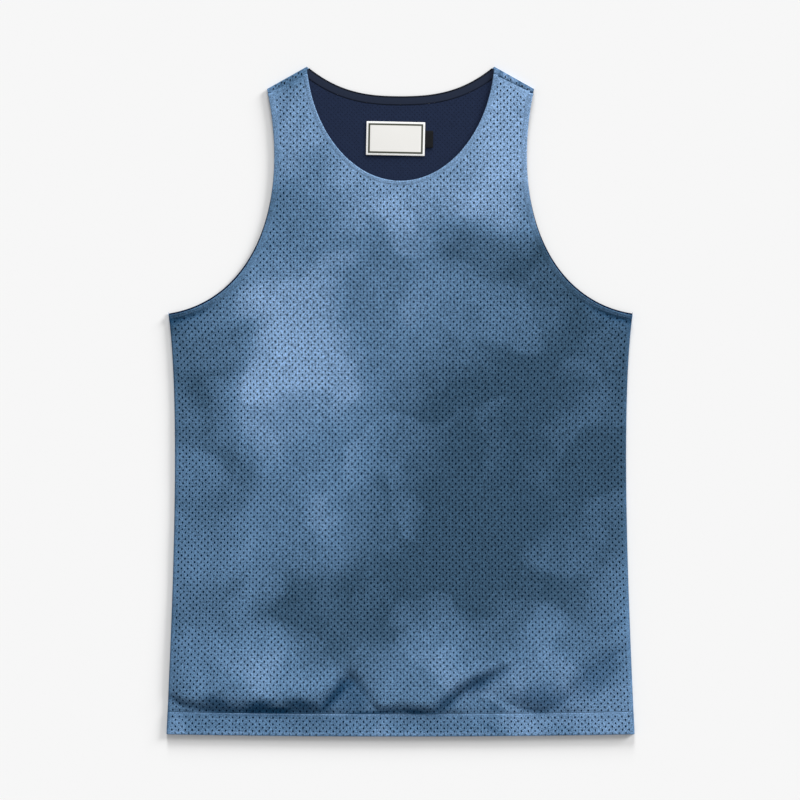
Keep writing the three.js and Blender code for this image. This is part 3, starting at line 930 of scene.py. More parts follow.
def cloth_material(name, lift=1.0, offset=(0, 0, 0)):
    """The printed outer knit, with painted shade in its creases and a painted highlight on its rolled edges.
    Lift scales its brightness, and offset slides its print.
    """
    if name in bpy.data.materials:
        return bpy.data.materials[name]
    colours = bpy.context.scene.jersey_colours
    material, g, surface = new_material(name, specular=0.08)
    place = object_place(g)
    slid = g.add("ShaderNodeMapping", {"Vector": place, "Location": offset}).outputs[0]
    tone = use_group(g, print_group(), Vector=slid)["Tone"]
    print_and_painted_light = g.ramp(tone, [
        (0.05, colours.print_dark), (0.5, colours.print_middle), (0.95, colours.print_light)])
    # Painted shade darkens the print in the creases, and a painted highlight lightens it along the rolled
    # edges.
    painted_shade = g.add("ShaderNodeAttribute", attribute_name="painted_shade").outputs["Fac"]
    print_and_painted_light = g.mixed(g.maths("MULTIPLY", painted_shade, 0.95), print_and_painted_light, (*colours.painted_crease_shade, 1))
    painted_highlight_share = g.add("ShaderNodeAttribute", attribute_name="painted_highlight").outputs["Fac"]
    print_and_painted_light = g.mixed(g.maths("MULTIPLY", painted_highlight_share, 0.5), print_and_painted_light, (*colours.print_light, 1))
    knit = use_group(g, knit_group(), Vector=place, Wale=0.0011, Course=0.0009)
    shade = g.span(knit["Grain"], 0.15, 0.85, 0.46 * lift, 1.57 * lift, ease=False)
    g.feed(surface.inputs["Base Color"], g.tinted(print_and_painted_light, shade))
    g.feed(surface.inputs["Roughness"], g.span(knit["Grain"], 0.0, 1.0, 0.78, 0.6, ease=False))
    surface.inputs["Sheen Weight"].default_value = 0.03
    surface.inputs["Sheen Roughness"].default_value = 0.4
    bumped(g, surface, knit["Height"], 0.00018, 0.8)
    return material


def lining_material(node):
    """The navy lining knit. The back's shows its fine eyelets inside the neck."""
    colours = bpy.context.scene.jersey_colours
    front = node == "front_lining"
    name = "Front Lining Knit" if front else "Back Lining Knit"
    material, g, surface = new_material(name, 0.8, 0.02 if front else 0.1)
    place = object_place(g)
    knit = use_group(g, knit_group(), Vector=place, Wale=0.001, Course=0.0008)
    shade = g.span(knit["Grain"], 0.1, 0.9, 0.8, 1.2, ease=False)
    height = g.maths("MULTIPLY", knit["Height"], 0.4)
    if not front:
        eyelet = use_group(g, mesh_dots_group(), Vector=place)["Eyelet"]
        # The eyelets are darkened: painted shade in their holes.
        shade = g.maths("MULTIPLY", shade, g.span(eyelet, 0.0, 1.0, 1.05, 0.6, ease=False))
        height = g.maths("SUBTRACT", height, eyelet)
    # The front lining, seen only through the holes, takes a darker copy of the navy: painted shade.
    navy = colours.lining_in_painted_shade if front else colours.lining
    g.feed(surface.inputs["Base Color"], g.tinted((*navy, 1), shade))
    bumped(g, surface, height, 0.0002, 0.6)
    return material


def tape_material():
    """The neck tape: fine ribs across its width, read from its own map, and darker along its neck edge."""
    colours = bpy.context.scene.jersey_colours
    material, g, surface = new_material("Neck Tape", 0.8, 0.1)
    u, v, _ = g.split(g.add("ShaderNodeTexCoord").outputs["UV"])
    darker_neck_edge = g.span(v, 0.0008, 0.0020, 0.25, 1.0)
    ribs = g.maths("SINE", g.maths("MULTIPLY", u, 2 * math.pi / 0.0011))
    cords = g.maths("SINE", g.maths("MULTIPLY", v, 2 * math.pi / 0.0016))
    weave = g.maths("MULTIPLY_ADD", g.maths("MULTIPLY", ribs, cords), 0.5, 0.5)
    g.feed(surface.inputs["Base Color"], g.tinted(
        (*colours.tape, 1), g.maths("MULTIPLY", darker_neck_edge, g.span(weave, 0, 1, 0.85, 1.15))))
    bumped(g, surface, weave, 0.00015)
    return material


def woven_group():
    """A tight plain weave, as a height."""
    if "Plain Weave" in bpy.data.node_groups:
        return bpy.data.node_groups["Plain Weave"]
    inputs = [("Vector", "NodeSocketVector", None), ("Pitch", "NodeSocketFloat", 0.0005)]
    g, given, out = group_tree("Plain Weave", inputs, [("Height", "NodeSocketFloat")])
    x, y, _ = g.split(given["Vector"])
    turn = g.maths("DIVIDE", 2 * math.pi, given["Pitch"])
    warp = g.maths("SINE", g.maths("MULTIPLY", x, turn))
    weft = g.maths("SINE", g.maths("MULTIPLY", y, turn))
    g.feed(out.inputs["Height"], g.maths("MULTIPLY_ADD", g.maths("MULTIPLY", warp, weft), 0.5, 0.5))
    return g.tree


def label_material():
    """The woven label: off-white with a plain dark frame line."""
    colours = bpy.context.scene.jersey_colours
    sizes = bpy.context.scene.jersey_sizes
    material, g, surface = new_material("Woven Label", 0.6, 0.2)
    local = g.add("ShaderNodeMapping", {
        "Vector": object_place(g),
        "Location": (LABEL_MIDDLE.x, LABEL_MIDDLE.y, 0),
        "Rotation": (0, 0, LABEL_TURN),
    }, vector_type="TEXTURE").outputs[0]
    x, y, _ = g.split(local)
    from_side = g.maths("SUBTRACT", LABEL_WIDE / 2, g.maths("ABSOLUTE", x))
    from_end = g.maths("SUBTRACT", LABEL_TALL / 2, g.maths("ABSOLUTE", y))
    inset = g.maths("MINIMUM", from_side, from_end)
    soft = 0.0002
    outer, inner = sizes.label_border, sizes.label_border + sizes.label_line
    starts = g.span(inset, outer - soft, outer + soft)
    ends = g.span(inset, inner - soft, inner + soft)
    line = g.maths("SUBTRACT", starts, ends)
    ground = g.mixed(ends, (*colours.label_border, 1), (*colours.label_ground, 1))
    weave = use_group(g, woven_group(), Vector=local, Pitch=0.0006)["Height"]
    colour = g.mixed(line, ground, (*colours.label_line, 1))
    g.feed(surface.inputs["Base Color"], g.tinted(colour, g.span(weave, 0, 1, 0.98, 1.01)))
    bumped(g, surface, weave, 0.00003, 0.5)
    return material


def tab_material():
    """The plain black woven tab."""
    colours = bpy.context.scene.jersey_colours
    material, g, surface = new_material("Woven Tab", 0.7, 0.1)
    weave = use_group(g, woven_group(), Vector=object_place(g), Pitch=0.0007)["Height"]
    g.feed(surface.inputs["Base Color"], g.tinted((*colours.tab, 1), g.span(weave, 0, 1, 0.8, 1.2)))
    bumped(g, surface, weave, 0.0001)
    return material


def thread_material(name, colour):
    """Twisted sewing thread, with a slight change of tone along it."""
    material, g, surface = new_material(name, 0.45)
    twist = g.add("ShaderNodeTexNoise", {"Vector": object_place(g), "Scale": 1500.0}).outputs["Fac"]
    g.feed(surface.inputs["Base Color"], g.tinted((*colour, 1), g.span(twist, 0.3, 0.7, 0.85, 1.15)))
    bumped(g, surface, twist, 0.00005)
    return material


def floor_material():
    """A plain pale matt surface."""
    colours = bpy.context.scene.jersey_colours
    material, g, surface = new_material("Pale Floor", 0.95, 0.0)
    grain = g.add("ShaderNodeTexNoise", {"Vector": object_place(g), "Scale": 900.0}).outputs["Fac"]
    g.feed(surface.inputs["Base Color"], g.tinted((*colours.floor, 1), g.span(grain, 0, 1, 0.995, 1.005)))
    return material


# Settings that a user would change


def length_setting(name, description, default, **limits):
    """A length in metres that a user would change."""
    return FloatProperty(
        name=name, description=description, default=default, unit="LENGTH", subtype="DISTANCE", **limits)


class JerseySizes(bpy.types.PropertyGroup):
    hole_across: length_setting(
        "Hole spacing across", "Distance between holes of one row", 0.0075, min=0.004)
    hole_row: length_setting(
        "Hole row spacing", "Distance from one row of holes to the next", 0.0037, min=0.002)
    hole_width: length_setting("Hole width", "Width of one mesh hole", 0.0019)
    hole_height: length_setting("Hole height", "Height of one mesh hole", 0.0026)
    hem_height: length_setting("Hem height", "Height of the turned hem", 0.025)
    neck_band: length_setting("Neck band width", "Width of the turned edge at the front neck", 0.005)
    armhole_band: length_setting("Armhole band width", "Width of the turned edge at each armhole", 0.0064)
    tape_width: length_setting("Neck tape width", "Width of the tape inside the back neck", 0.0097)
    stitch_length: length_setting("Stitch length", "Length of one stitch with its gap", 0.003)
    label_border: length_setting("Label border", "Width of the label's pale border", 0.0021)
    label_line: length_setting("Label frame line", "Width of the label's dark frame line", 0.0021)


def colour_setting(name, description, default):
    """A colour that a user would change."""
    return FloatVectorProperty(
        name=name, description=description, default=default, size=3, min=0, max=1, subtype="COLOR")


class JerseyColours(bpy.types.PropertyGroup):
    print_light: colour_setting("Print, light", "Lightest tone of the print", (0.250, 0.410, 0.660))
    print_middle: colour_setting("Print, middle", "Middle tone of the print", (0.110, 0.218, 0.373))
    print_dark: colour_setting("Print, dark", "Darkest tone of the print", (0.040, 0.092, 0.160))
    # Painted shade: the colour that the cloth is darkened to deep in its creases.
    painted_crease_shade: colour_setting("Creases", "Tone of the cloth deep in its creases", (0.004, 0.045, 0.112))
    lining: colour_setting("Lining", "Navy of the lining mesh", (0.0125, 0.0215, 0.053))
    # A darker copy of the lining's navy, painted shade for the front lining seen through the holes.
    lining_in_painted_shade: colour_setting("Lining, under", "Navy that shows through the holes", (0.0012, 0.011, 0.040))
    tape: colour_setting("Neck tape", "Dark blue of the neck tape", (0.0180, 0.0260, 0.0500))
    thread: colour_setting("Thread", "Sewing thread of the hems and edges", (0.11, 0.20, 0.34))
    label_ground: colour_setting("Label ground", "Off-white middle of the label", (0.86, 0.85, 0.82))
    label_border: colour_setting("Label border", "White edge of the label", (0.95, 0.95, 0.94))
    label_line: colour_setting("Label line", "Dark frame line of the label", (0.07, 0.075, 0.055))
    tab: colour_setting("Tab", "Black of the side tab", (0.010, 0.011, 0.013))
    floor: colour_setting("Floor", "Pale floor under the jersey", (0.934, 0.934, 0.934))


# Operators, one for each kind of piece


def panel_flat(share, height):
    """The flat place of a panel's point, at a share of its half width and a height over the hem seam."""
    straight = BOTTOM + hem_height() + height
    x = share * float(half_width(straight))
    follow = 1 - float(smooth(height / TOP))
    return x, straight + follow * HEM_SAG * (x / HEM_HALF) ** 2


def half_columns():
    """How many half hole spacings fit from the middle to the side's turn."""
    sizes = bpy.context.scene.jersey_sizes
    return round((HEM_HALF - SIDE_TURN) / (sizes.hole_across / 2))


def side_round(inset):
    """0 inside the body, rising to 1 at the side, as a quarter circle does."""
    off = 1 - np.clip(inset / SIDE_TURN, 0, 1)
    return 1 - np.sqrt(1 - off ** 2)


def turned_down(points, level):
    """How far the cloth has left its level towards the side seam."""
    inset = half_width(points[:, 1]) - np.abs(points[:, 0])
    return (level - SIDE_SEAM_LEVEL) * side_round(inset)


def clear_of_edges(x, y, near_neck, neck_gap):
    """True where a panel's hole stays clear of its neck edge, its armhole edge and its side."""
    return (
        near_neck.distance(x, y) > neck_gap
        and NEAR_ARMHOLE.distance(x, y) > bpy.context.scene.jersey_sizes.armhole_band + HOLE_MARGIN
        and half_width(y) - abs(x) > SIDE_TURN)


class JERSEY_OT_outer_panels(bpy.types.Operator):
    """Knit the front and back panels of outer mesh, with real holes and the front's folds"""

    bl_idname = "jersey.outer_panels"
    bl_label = "Outer Panels"

    def execute(self, context):
        sizes = context.scene.jersey_sizes
        row = sizes.hole_row
        columns = column_shares(half_columns())
        count = round((TOP - BOTTOM - sizes.hem_height) / row)
        seam_rows = [0, 0.0008]
        fold_rows = [PANEL_FIRST_HOLES + row * (k + 0.5) for k in range(round(FOLD_ZONE / row))]
        neck, arm = sizes.neck_band, sizes.armhole_band

        def front_spare(x, y):
            seam = NECK_POINT + SHOULDER_INWARD * (SEAM_AT_NECK + HOLES_UNDER_SHOULDER_SEAM)
            below = SHOULDER_ALONG.cross(Vector((abs(x), y)) - seam) < 0
            return below and clear_of_edges(x, y, NEAR_FRONT_NECK, neck + HOLE_MARGIN)

        cut = Cut(FRONT_NECK, neck - FRONT_TUCK, arm - FRONT_TUCK, SEAM_AT_NECK, SEAM_AT_ARMHOLE)
        rows = lattice_rows(PANEL_FIRST_HOLES, count, row, seam_rows + fold_rows)
        bm = lattice(columns, rows, panel_flat, front_spare, cut)
        mesh = shaped(bm, self.front_form, front_painted_light)
        add_piece("front_mesh", mesh, cloth_material("Printed Mesh"), "outer_mesh", "front_panel")

        def back_spare(x, y):
            return clear_of_edges(x, y, NEAR_BACK_NECK, neck + HOLE_MARGIN + 0.0002)

        shoulder = BACK_FLAP - BACK_SHOULDER_TUCK
        cut = Cut(BACK_NECK, BACK_NECK_INSET, 0.0, shoulder, shoulder)
        rows = lattice_rows(PANEL_FIRST_HOLES, count, row, seam_rows)
        bm = lattice(columns, rows, panel_flat, back_spare, cut)
        bmesh.ops.reverse_faces(bm, faces=bm.faces)
        cloth = cloth_material("Printed Mesh Back", offset=BACK_PRINT_OFFSET)
        add_piece("back_mesh", shaped(bm, self.back_form), cloth, "outer_mesh", "back_panel")
        return {"FINISHED"}

    def front_form(self, points):
        """The front in space: its folds, its small waves and its turn down to the side seams."""
        sizes = bpy.context.scene.jersey_sizes
        x, y = points[:, 0], points[:, 1]
        height = y - hem_line(x, sizes.hem_height)
        in_neck = NEAR_FRONT_NECK.distances(x, y) - sizes.neck_band
        in_arm = NEAR_ARMHOLE.distances(x, y) - sizes.armhole_band
        free = smooth(np.minimum(in_neck, in_arm) / CALM_BY_BANDS)
        drape = DRAPE * wander(x, y, 13, 3.1) + DRAPE_FINE * wander(x, y, 60, 5.7)
        pucker = PUCKER * wander(x, y, 95, 8.3) * np.exp(-np.abs(height) / PUCKER_REACH)
        waves = (drape * smooth(height / DRAPE_START) + pucker * smooth(height / PUCKER_START)) * free
        z = FRONT_LEVEL + relief(x, y) + waves
        z -= armpit_dip(x, y)
        z -= SEAM_SINK * (1 - smooth(height / SEAM_SINK_REACH))
        points[:, 2] = z - turned_down(points, FRONT_LEVEL)
        return points

    def back_form(self, points):
        """The back in space, nearly flat on the surface."""
        x, y = points[:, 0], points[:, 1]
        points[:, 2] = BACK_LEVEL + BACK_WAVE * wander(x, y, 40, 2.2) - turned_down(points, BACK_LEVEL)
        return points


class JERSEY_OT_hems(bpy.types.Operator):
    """Fold the front and back hems double, with a rounded lower edge and a stitched groove"""

    bl_idname = "jersey.hems"
    bl_label = "Hems"

    def execute(self, context):
        sizes = context.scene.jersey_sizes
        turn = sizes.hem_height
        fold = [turn + 0.0002 * k for k in range(-3, 10)]
        groove = [GROOVE - GROOVE_HALF, GROOVE, GROOVE + GROOVE_HALF]
        lip = [0, 0.0003, HEM_LIP_WIDTH, 0.0022]
        inside = [turn + 0.006, turn + 0.012, turn + 0.018, 2 * turn - 0.002]
        rows = lattice_rows(HEM_FIRST_HOLES, HEM_HOLE_ROWS, sizes.hole_row, lip + groove + fold + inside)

        def flat(share, length):
            return share * HEM_HALF, -length

        def spare(x, y):
            return HEM_HALF - abs(x) > SIDE_TURN + 0.0008

        for name, sign, cloth, node in (
            ("front_hem_fold", 1, "Printed Mesh", "front_hem"),
            ("back_hem_fold", -1, "Printed Mesh Back", "back_hem"),
        ):
            bm = lattice(column_shares(half_columns()), rows, flat, spare)
            if sign > 0:
                bmesh.ops.reverse_faces(bm, faces=bm.faces)
            painted_light = hem_painted_light if sign > 0 else None
            mesh = shaped(bm, lambda points, sign=sign: hem_form(points, sign), painted_light)
            add_piece(name, mesh, cloth_material(cloth), "outer_mesh", node)
        return {"FINISHED"}


def hem_form(points, sign):
    """A hem in space. Points give x, minus the length down from the seam, and a distance over the cloth."""
    x, length, over = points[:, 0].copy(), -points[:, 1], points[:, 2]
    turn = hem_height()
    radius = HEM_FOLD_RADIUS
    straight = turn - radius
    arc = np.clip((length - straight) / radius, 0, math.pi)
    after = np.maximum(length - straight - math.pi * radius, 0)
    down = np.minimum(length, straight) + radius * np.sin(arc) - after
    sunk = radius * (1 - np.cos(arc))
    wide = half_width(BOTTOM + turn - down) / HEM_HALF
    out = np.empty_like(points)
    out[:, 0] = x * wide
    out[:, 1] = hem_line(x, turn) - down
    front = arc <= 0
    lip = HEM_LIP_DEPTH * (1 - smooth(length / HEM_LIP_WIDTH))
    groove = GROOVE_DEPTH * bell(length - GROOVE, GROOVE_HALF)
    ripple = HEM_RIPPLE * wander(x, down, 85, 4.4) * smooth((turn - down) / 0.002 + 0.2)
    ripple += CRUMPLE_HEIGHT * bell(x - CRUMPLE_X, CRUMPLE_HALF) * wander(x, down, 160, 9.1)
    if sign > 0:
        level = HEM_FRONT_LEVEL + ripple - sunk - front * (lip + groove) + over
        side = HEM_FRONT_LEVEL - SIDE_SEAM_LEVEL - HEM_LAYERS_APART
    else:
        over = np.minimum(over, HEM_BACK_LEVEL)
        level = HEM_BACK_LEVEL + np.abs(ripple) * 0.3 + sunk + front * (lip * 0.4 + groove) - over
        side = HEM_BACK_LEVEL - SIDE_SEAM_LEVEL + HEM_LAYERS_APART
    out[:, 2] = level - side * side_round(HEM_HALF - np.abs(x))
    return out


def hem_painted_light(points):
    """The front hem's painted shade on its face, at its lower fold and at its few crumples, and its painted
    highlight on the rim under the seam and the roll above the fold.
    """
    x, length, turn = points[:, 0], -points[:, 1], hem_height()
    painted_light = front_painted_light(np.column_stack([x, hem_line(x, turn) - length]))
    fold = HEM_SHADE * bell(length - turn, HEM_SHADE_HALF)
    painted_light["painted_shade"] = np.maximum(np.where(length < turn, painted_light["painted_shade"], 0), fold)
    strong = 0.2 + 0.6 * smooth((x + 0.215) / 0.03) * (1 - 0.8 * smooth((x + 0.04) / 0.06))
    uneven = np.clip(0.55 + 0.6 * wander(x, length, 30, 3.8), 0.1, 1)
    roll = bell(length - turn + HEM_ROLL_UP, HEM_ROLL_HALF) * uneven
    painted_light["painted_highlight"] = strong * bell(length - HEM_RIM_DOWN, HEM_RIM_HALF) + roll
    return painted_light


class JERSEY_OT_linings(bpy.types.Operator):
    """Lay the navy front and back linings between the outer panels"""

    bl_idname = "jersey.linings"
    bl_label = "Linings"

    def execute(self, context):
        layers = (
            ("front_lining_mesh", FRONT_NECK, FRONT_LINING_LEVEL, 0.0019, "front_lining", 0.0),
            ("back_lining_mesh", BACK_NECK, BACK_LINING_LEVEL, -0.0012, "back_lining", 0.00008),
        )
        turn = hem_height()
        free = turn + 0.002
        body = [free + (TOP - BOTTOM - free) * k / LINING_ROWS for k in range(LINING_ROWS + 1)]
        rows = [0.003, 0.010, 0.017] + [turn + 0.001 * k for k in range(-3, 2)] + body
        rows = [(height, None) for height in rows]
        columns = [(2 * k / LINING_COLUMNS - 1, None) for k in range(LINING_COLUMNS + 1)]

        def flat(share, height):
            y = BOTTOM + height
            out_of_hem = float(smooth((height - turn - 0.001) / 0.002))
            inset = LINING_SIDE_IN_HEM - (LINING_SIDE_IN_HEM - LINING_SIDE) * out_of_hem
            x = share * (float(half_width(y)) - inset)
            return x, y + (1 - float(smooth(height / TOP))) * HEM_SAG * (x / HEM_HALF) ** 2

        for name, neck, level, caught, node, swell in layers:
            cut = Cut(neck, LINING_NECK, 0.0, LINING_SHOULDER, LINING_SHOULDER)
            bm = lattice(columns, rows, flat, lambda x, y: False, cut)

            def form(points, level=level, swell=swell, caught=caught):
                x, y = points[:, 0], points[:, 1]
                in_hem = smooth((hem_line(x, turn) + 0.001 - y) / 0.003)
                wave = LINING_WAVE * wander(x, y, 70, 1.5) + swell * wander(x, y, 22, 6.6)
                under_tape = 1 - smooth((NEAR_BACK_NECK.distances(x, y) - 0.010) / 0.006)
                points[:, 2] = level + caught * in_hem + wave * (1 - in_hem) * (1 - under_tape)
                return points

            add_piece(name, shaped(bm, form), lining_material(node), "lining_mesh", node)
        return {"FINISHED"}


def band_section(width):
    """A turned edge's section: rows of (inset, height), from its rolled edge to its border in the panel."""
    level = FRONT_LEVEL
    return [
        (0.0006, level - 0.0011),
        (0.0001, level - 0.0007),
        (0.0, level - 0.0002),
        (0.0003, level + 0.00018),
        (0.0009, level + 0.0003),
        (0.0018, level + 0.00022),
        (0.0028, level + 0.00026),
        (width * 0.7, level + 0.0002),
        (width * 0.85, level + 0.0001),
        (width, level),
        (width + 0.0003, level - 0.0002),
        (width * 0.8, level - 0.0008),
    ]


def back_band_section(width):
    """The same edge on the back, under the back's sheet."""
    return [
        (0.0011, 0.0009),
        (0.0004, 0.0007),
        (0.0001, 0.0004),
        (0.0004, 0.00015),
        (0.0012, 0.00005),
        (0.0028, 0.0001),
        (width * 0.8, 0.0001),
        (width, 0.0003),
        (width * 0.8, 0.0006),
    ]


def on_side(flip, line, section):
    """An armhole line and its section, as on the right if flip is 1, or mirrored if it is -1."""
    if flip < 0:
        line = mirrored(line)[::-1]
    return line, [(inset * flip, height) for inset, height in section]


class JERSEY_OT_edge_bands(bpy.types.Operator):
    """Turn the edges along the front neck and the armholes, front and back"""

    bl_idname = "jersey.edge_bands"
    bl_label = "Turned Edges"

    def execute(self, context):
        sizes = context.scene.jersey_sizes
        # The turned edges' knit is a darker copy of the panels' knit: painted shade.
        cloth = cloth_material("Printed Turned Edge", lift=0.9)
        neck_line = below_seam(whole_neck(FRONT_NECK), 0.0001)
        neck = sweep(neck_line, band_section(sizes.neck_band), NECK_STEPS)
        neck = reshaped(neck, self.dipped, front_painted_light)
        add_piece("neck_band", neck, cloth, "turned_bands", "front_neck_band")
        arm_line = below_seam(ARMHOLE, 0.0001)
        front_section = band_section(sizes.armhole_band)
        back_section = back_band_section(sizes.armhole_band)
        back_cloth = cloth_material("Printed Mesh Back")
        for side, flip in (("right", 1), ("left", -1)):

            def lining_shows(p, flip=flip):
                return flip * LINING_SHOWS * (1 - float(smooth((p.y - 0.12) / 0.16)))

            mesh = sweep(*on_side(flip, arm_line, front_section), ARMHOLE_STEPS, lining_shows)
            mesh = reshaped(mesh, self.dipped, front_painted_light)
            add_piece(f"armhole_edge_{side}", mesh, cloth, "turned_bands", f"armhole_band_{side}")
            mesh = sweep(*on_side(flip, ARMHOLE, back_section), ARMHOLE_STEPS)
            add_piece(f"armhole_edge_back_{side}", mesh, back_cloth, "turned_bands")
        mesh = sweep(whole_neck(BACK_NECK), back_band_section(sizes.neck_band), BACK_NECK_STEPS)
        add_piece("neck_band_back", mesh, back_cloth, "turned_bands")
        return {"FINISHED"}

    def dipped(self, points):
        """Lets an edge follow the panel's dip at the armpit."""
        points[:, 2] -= armpit_dip(points[:, 0], points[:, 1])
        return points


class JERSEY_OT_shoulders(bpy.types.Operator):
    """Wrap the back's mesh forward over the shoulder folds to the front seams"""

    bl_idname = "jersey.shoulders"
    bl_label = "Shoulders"

    def execute(self, context):
        sizes = context.scene.jersey_sizes
        length = (SHOULDER_TIP - NECK_POINT).length
        radius = (FRONT_LEVEL - BACK_LEVEL) / 2
        front, wrap = WRAP_FRONT, WRAP_TURN
        count = round(length / (sizes.hole_across / 2))
        columns = [(k / count, k) for k in range(count + 1)]
        over_fold = [front + wrap * k / 8 for k in range(1, 8)]
        extra = [-WRAP_UNDER, 0, 0.0004] + over_fold + [front + wrap + 0.003, front + wrap + BACK_FLAP]
        rows = lattice_rows(WRAP_FIRST_HOLES, 2, front - WRAP_FIRST_HOLES + 0.0004, extra)

        def flat(share, at):
            return share * length, at

        def form(points, side, sink):
            """The wrap in space: up from the front seam, round the fold and on over the back."""
            share, at = points[:, 0] / length, points[:, 1]
            seam = SEAM_AT_NECK + (SEAM_AT_ARMHOLE - SEAM_AT_NECK) * share
            angle = np.clip((at - front) / radius, 0, math.pi)
            flat_part = radius + (seam - radius) * (1 - np.maximum(at, 0) / front) - np.minimum(at, 0)
            depth = np.where(at < front, flat_part, radius * (1 - np.sin(angle)))
            depth = depth + np.maximum(at - front - wrap, 0)
            z = (FRONT_LEVEL + BACK_LEVEL) / 2 + radius * np.cos(angle)
            under = WRAP_UNDER_DROP * np.clip(-at / WRAP_UNDER, 0, 1)
            z -= sink * np.exp(-np.maximum(at, 0) / WRAP_SINK_REACH) + under
            start = np.where(angle < math.pi / 2, slant(FRONT_NECK), slant(BACK_NECK))
            end = slant(ARMHOLE)
            skew = start * (1 - share) + end * share
            along = share * length + skew * depth
            x = NECK_POINT.x + SHOULDER_ALONG.x * along + SHOULDER_INWARD.x * depth
            y = NECK_POINT.y + SHOULDER_ALONG.y * along + SHOULDER_INWARD.y * depth
            return np.column_stack([side * x, y, z])

        def painted_light(points, seam_depth):
            """The painted shade of a wrap: a dark line along the seam, shade past the fold, and darker places
            towards the armhole end and in spots.
            """
            share, at = points[:, 0] / length, points[:, 1]
            seam = 0.8 * seam_depth * bell(at - 0.0002, 0.0006)
            fold = (0.35 + 0.25 * seam_depth) * bell(at - front - wrap * 0.34, 0.0016)
            darker_to_armhole = 0.42 * smooth((share - 0.25) / 0.45)
            dark_spots = 0.5 * smooth((wander(share, at, 14, 2.6) - 0.1) / 0.2)
            marks = (darker_to_armhole + dark_spots) * seam_depth * (at < front + wrap / 2)
            return {"painted_shade": np.clip(seam + fold + marks, 0, 1)}

        for name, side, sink, seam_depth in (("left", -1, 0.0002, 0.35), ("right", 1, 0.0004, 0.9)):
            first = WRAP_END if side < 0 else WRAP_END + 0.005
            last = front + wrap if side < 0 else front * 0.6

            def spare(x, y, first=first, last=last):
                return first < x < length - WRAP_END and y < last

            bm = lattice(columns, rows, flat, spare)
            if side < 0:
                bmesh.ops.reverse_faces(bm, faces=bm.faces)
            mesh = shaped(
                bm, lambda points, side=side, sink=sink: form(points, side, sink),
                lambda points, seam_depth=seam_depth: painted_light(points, seam_depth))
            cloth = cloth_material("Printed Mesh")
            add_piece(f"shoulder_wrap_{name}", mesh, cloth, "outer_mesh", f"shoulder_{name}")
        return {"FINISHED"}


def slant(line):
    """How far along the shoulder a line runs for each metre that it goes inward from its first point."""
    step = line[12] - line[0]
    return step.dot(SHOULDER_ALONG) / step.dot(SHOULDER_INWARD)


class JERSEY_OT_neck_trims(bpy.types.Operator):
    """Sew the tape, the bare label and its side tab inside the back neck"""

    bl_idname = "jersey.neck_trims"
    bl_label = "Neck Tape and Label"

    def execute(self, context):
        sizes = context.scene.jersey_sizes
        level = BACK_LINING_LEVEL + TAPE_LIFT
        wide = sizes.tape_width
        section = [
            (0.0002, level - 0.0012),
            (-0.0004, level - 0.0008),
            (-0.0005, level - 0.0002),
            (0.0, level),
            (0.0012, level + 0.0001),
            (wide * 0.5, level + 0.0001),
            (wide - 0.0015, level + 0.00005),
            (wide, level - 0.00006),
            (wide - 0.0006, level - 0.0004),
            (0.002, level - 0.0004),
        ]
        line = [p for p in whole_neck(BACK_NECK) if p.y < TOP - 0.0018]
        tape = sweep(line, section, BACK_NECK_STEPS)
        add_piece("neck_tape", tape, tape_material(), "neck_tape", "back_neck_tape")
        label = patch(LABEL_WIDE, LABEL_TALL, 0, LABEL_LEVEL, LABEL_BOW)
        add_piece("sewn_label", label, label_material(), "label", "label")
        tab = patch(TAB_WIDE, TAB_TALL, TAB_REACH, TAB_LEVEL, TAB_BOW)
        add_piece("side_tab", tab, tab_material(), "label_tab", "label_tab")
        return {"FINISHED"}


def label_place(points, x, level, bow):
    """Turns and lays flat points that are centred on a patch onto the label's place, bowed slightly."""
    out = points.copy()
    across = np.cos(points[:, 0] * LABEL_WAVE.x + LABEL_WAVE_SHIFT) * 0.5 + 0.5
    out[:, 2] += level + bow * across * np.cos(points[:, 1] * LABEL_WAVE.y)
    px = points[:, 0] + x
    out[:, 0] = LABEL_MIDDLE.x + px * math.cos(LABEL_TURN) - points[:, 1] * math.sin(LABEL_TURN)
    out[:, 1] = LABEL_MIDDLE.y + px * math.sin(LABEL_TURN) + points[:, 1] * math.cos(LABEL_TURN)
    return out


def round_edges(bm, edges, offset, segments):
    """Rounds some edges of a mesh."""
    bmesh.ops.bevel(
        bm, geom=edges, offset=offset, offset_type="OFFSET", segments=segments, profile=0.5,
        affect="EDGES", material=-1)


def patch(wide, tall, x, level, bow):
    """A thin woven patch with softened edges and corners."""
    bm = bmesh.new()
    bmesh.ops.create_cube(bm, size=1.0)
    bmesh.ops.scale(bm, vec=(wide, tall, PATCH_THICK), verts=bm.verts)
    upright = [e for e in bm.edges if abs(e.verts[0].co.z - e.verts[1].co.z) > PATCH_THICK / 2]
    round_edges(bm, upright, PATCH_CORNER, 4)
    bm.normal_update()
    round_edges(bm, [e for e in bm.edges if e.calc_face_angle() > math.radians(80)], PATCH_RIM, 2)
    for normal, size in ((Vector((1, 0, 0)), wide), (Vector((0, 1, 0)), tall)):
        for k in range(1, PATCH_PARTS):
            at = normal * size * (k / PATCH_PARTS - 0.5)
            everything = bm.verts[:] + bm.edges[:] + bm.faces[:]
            bmesh.ops.bisect_plane(bm, geom=everything, plane_co=at, plane_no=normal)
    return shaped(bm, lambda points: label_place(points, x, level, bow))


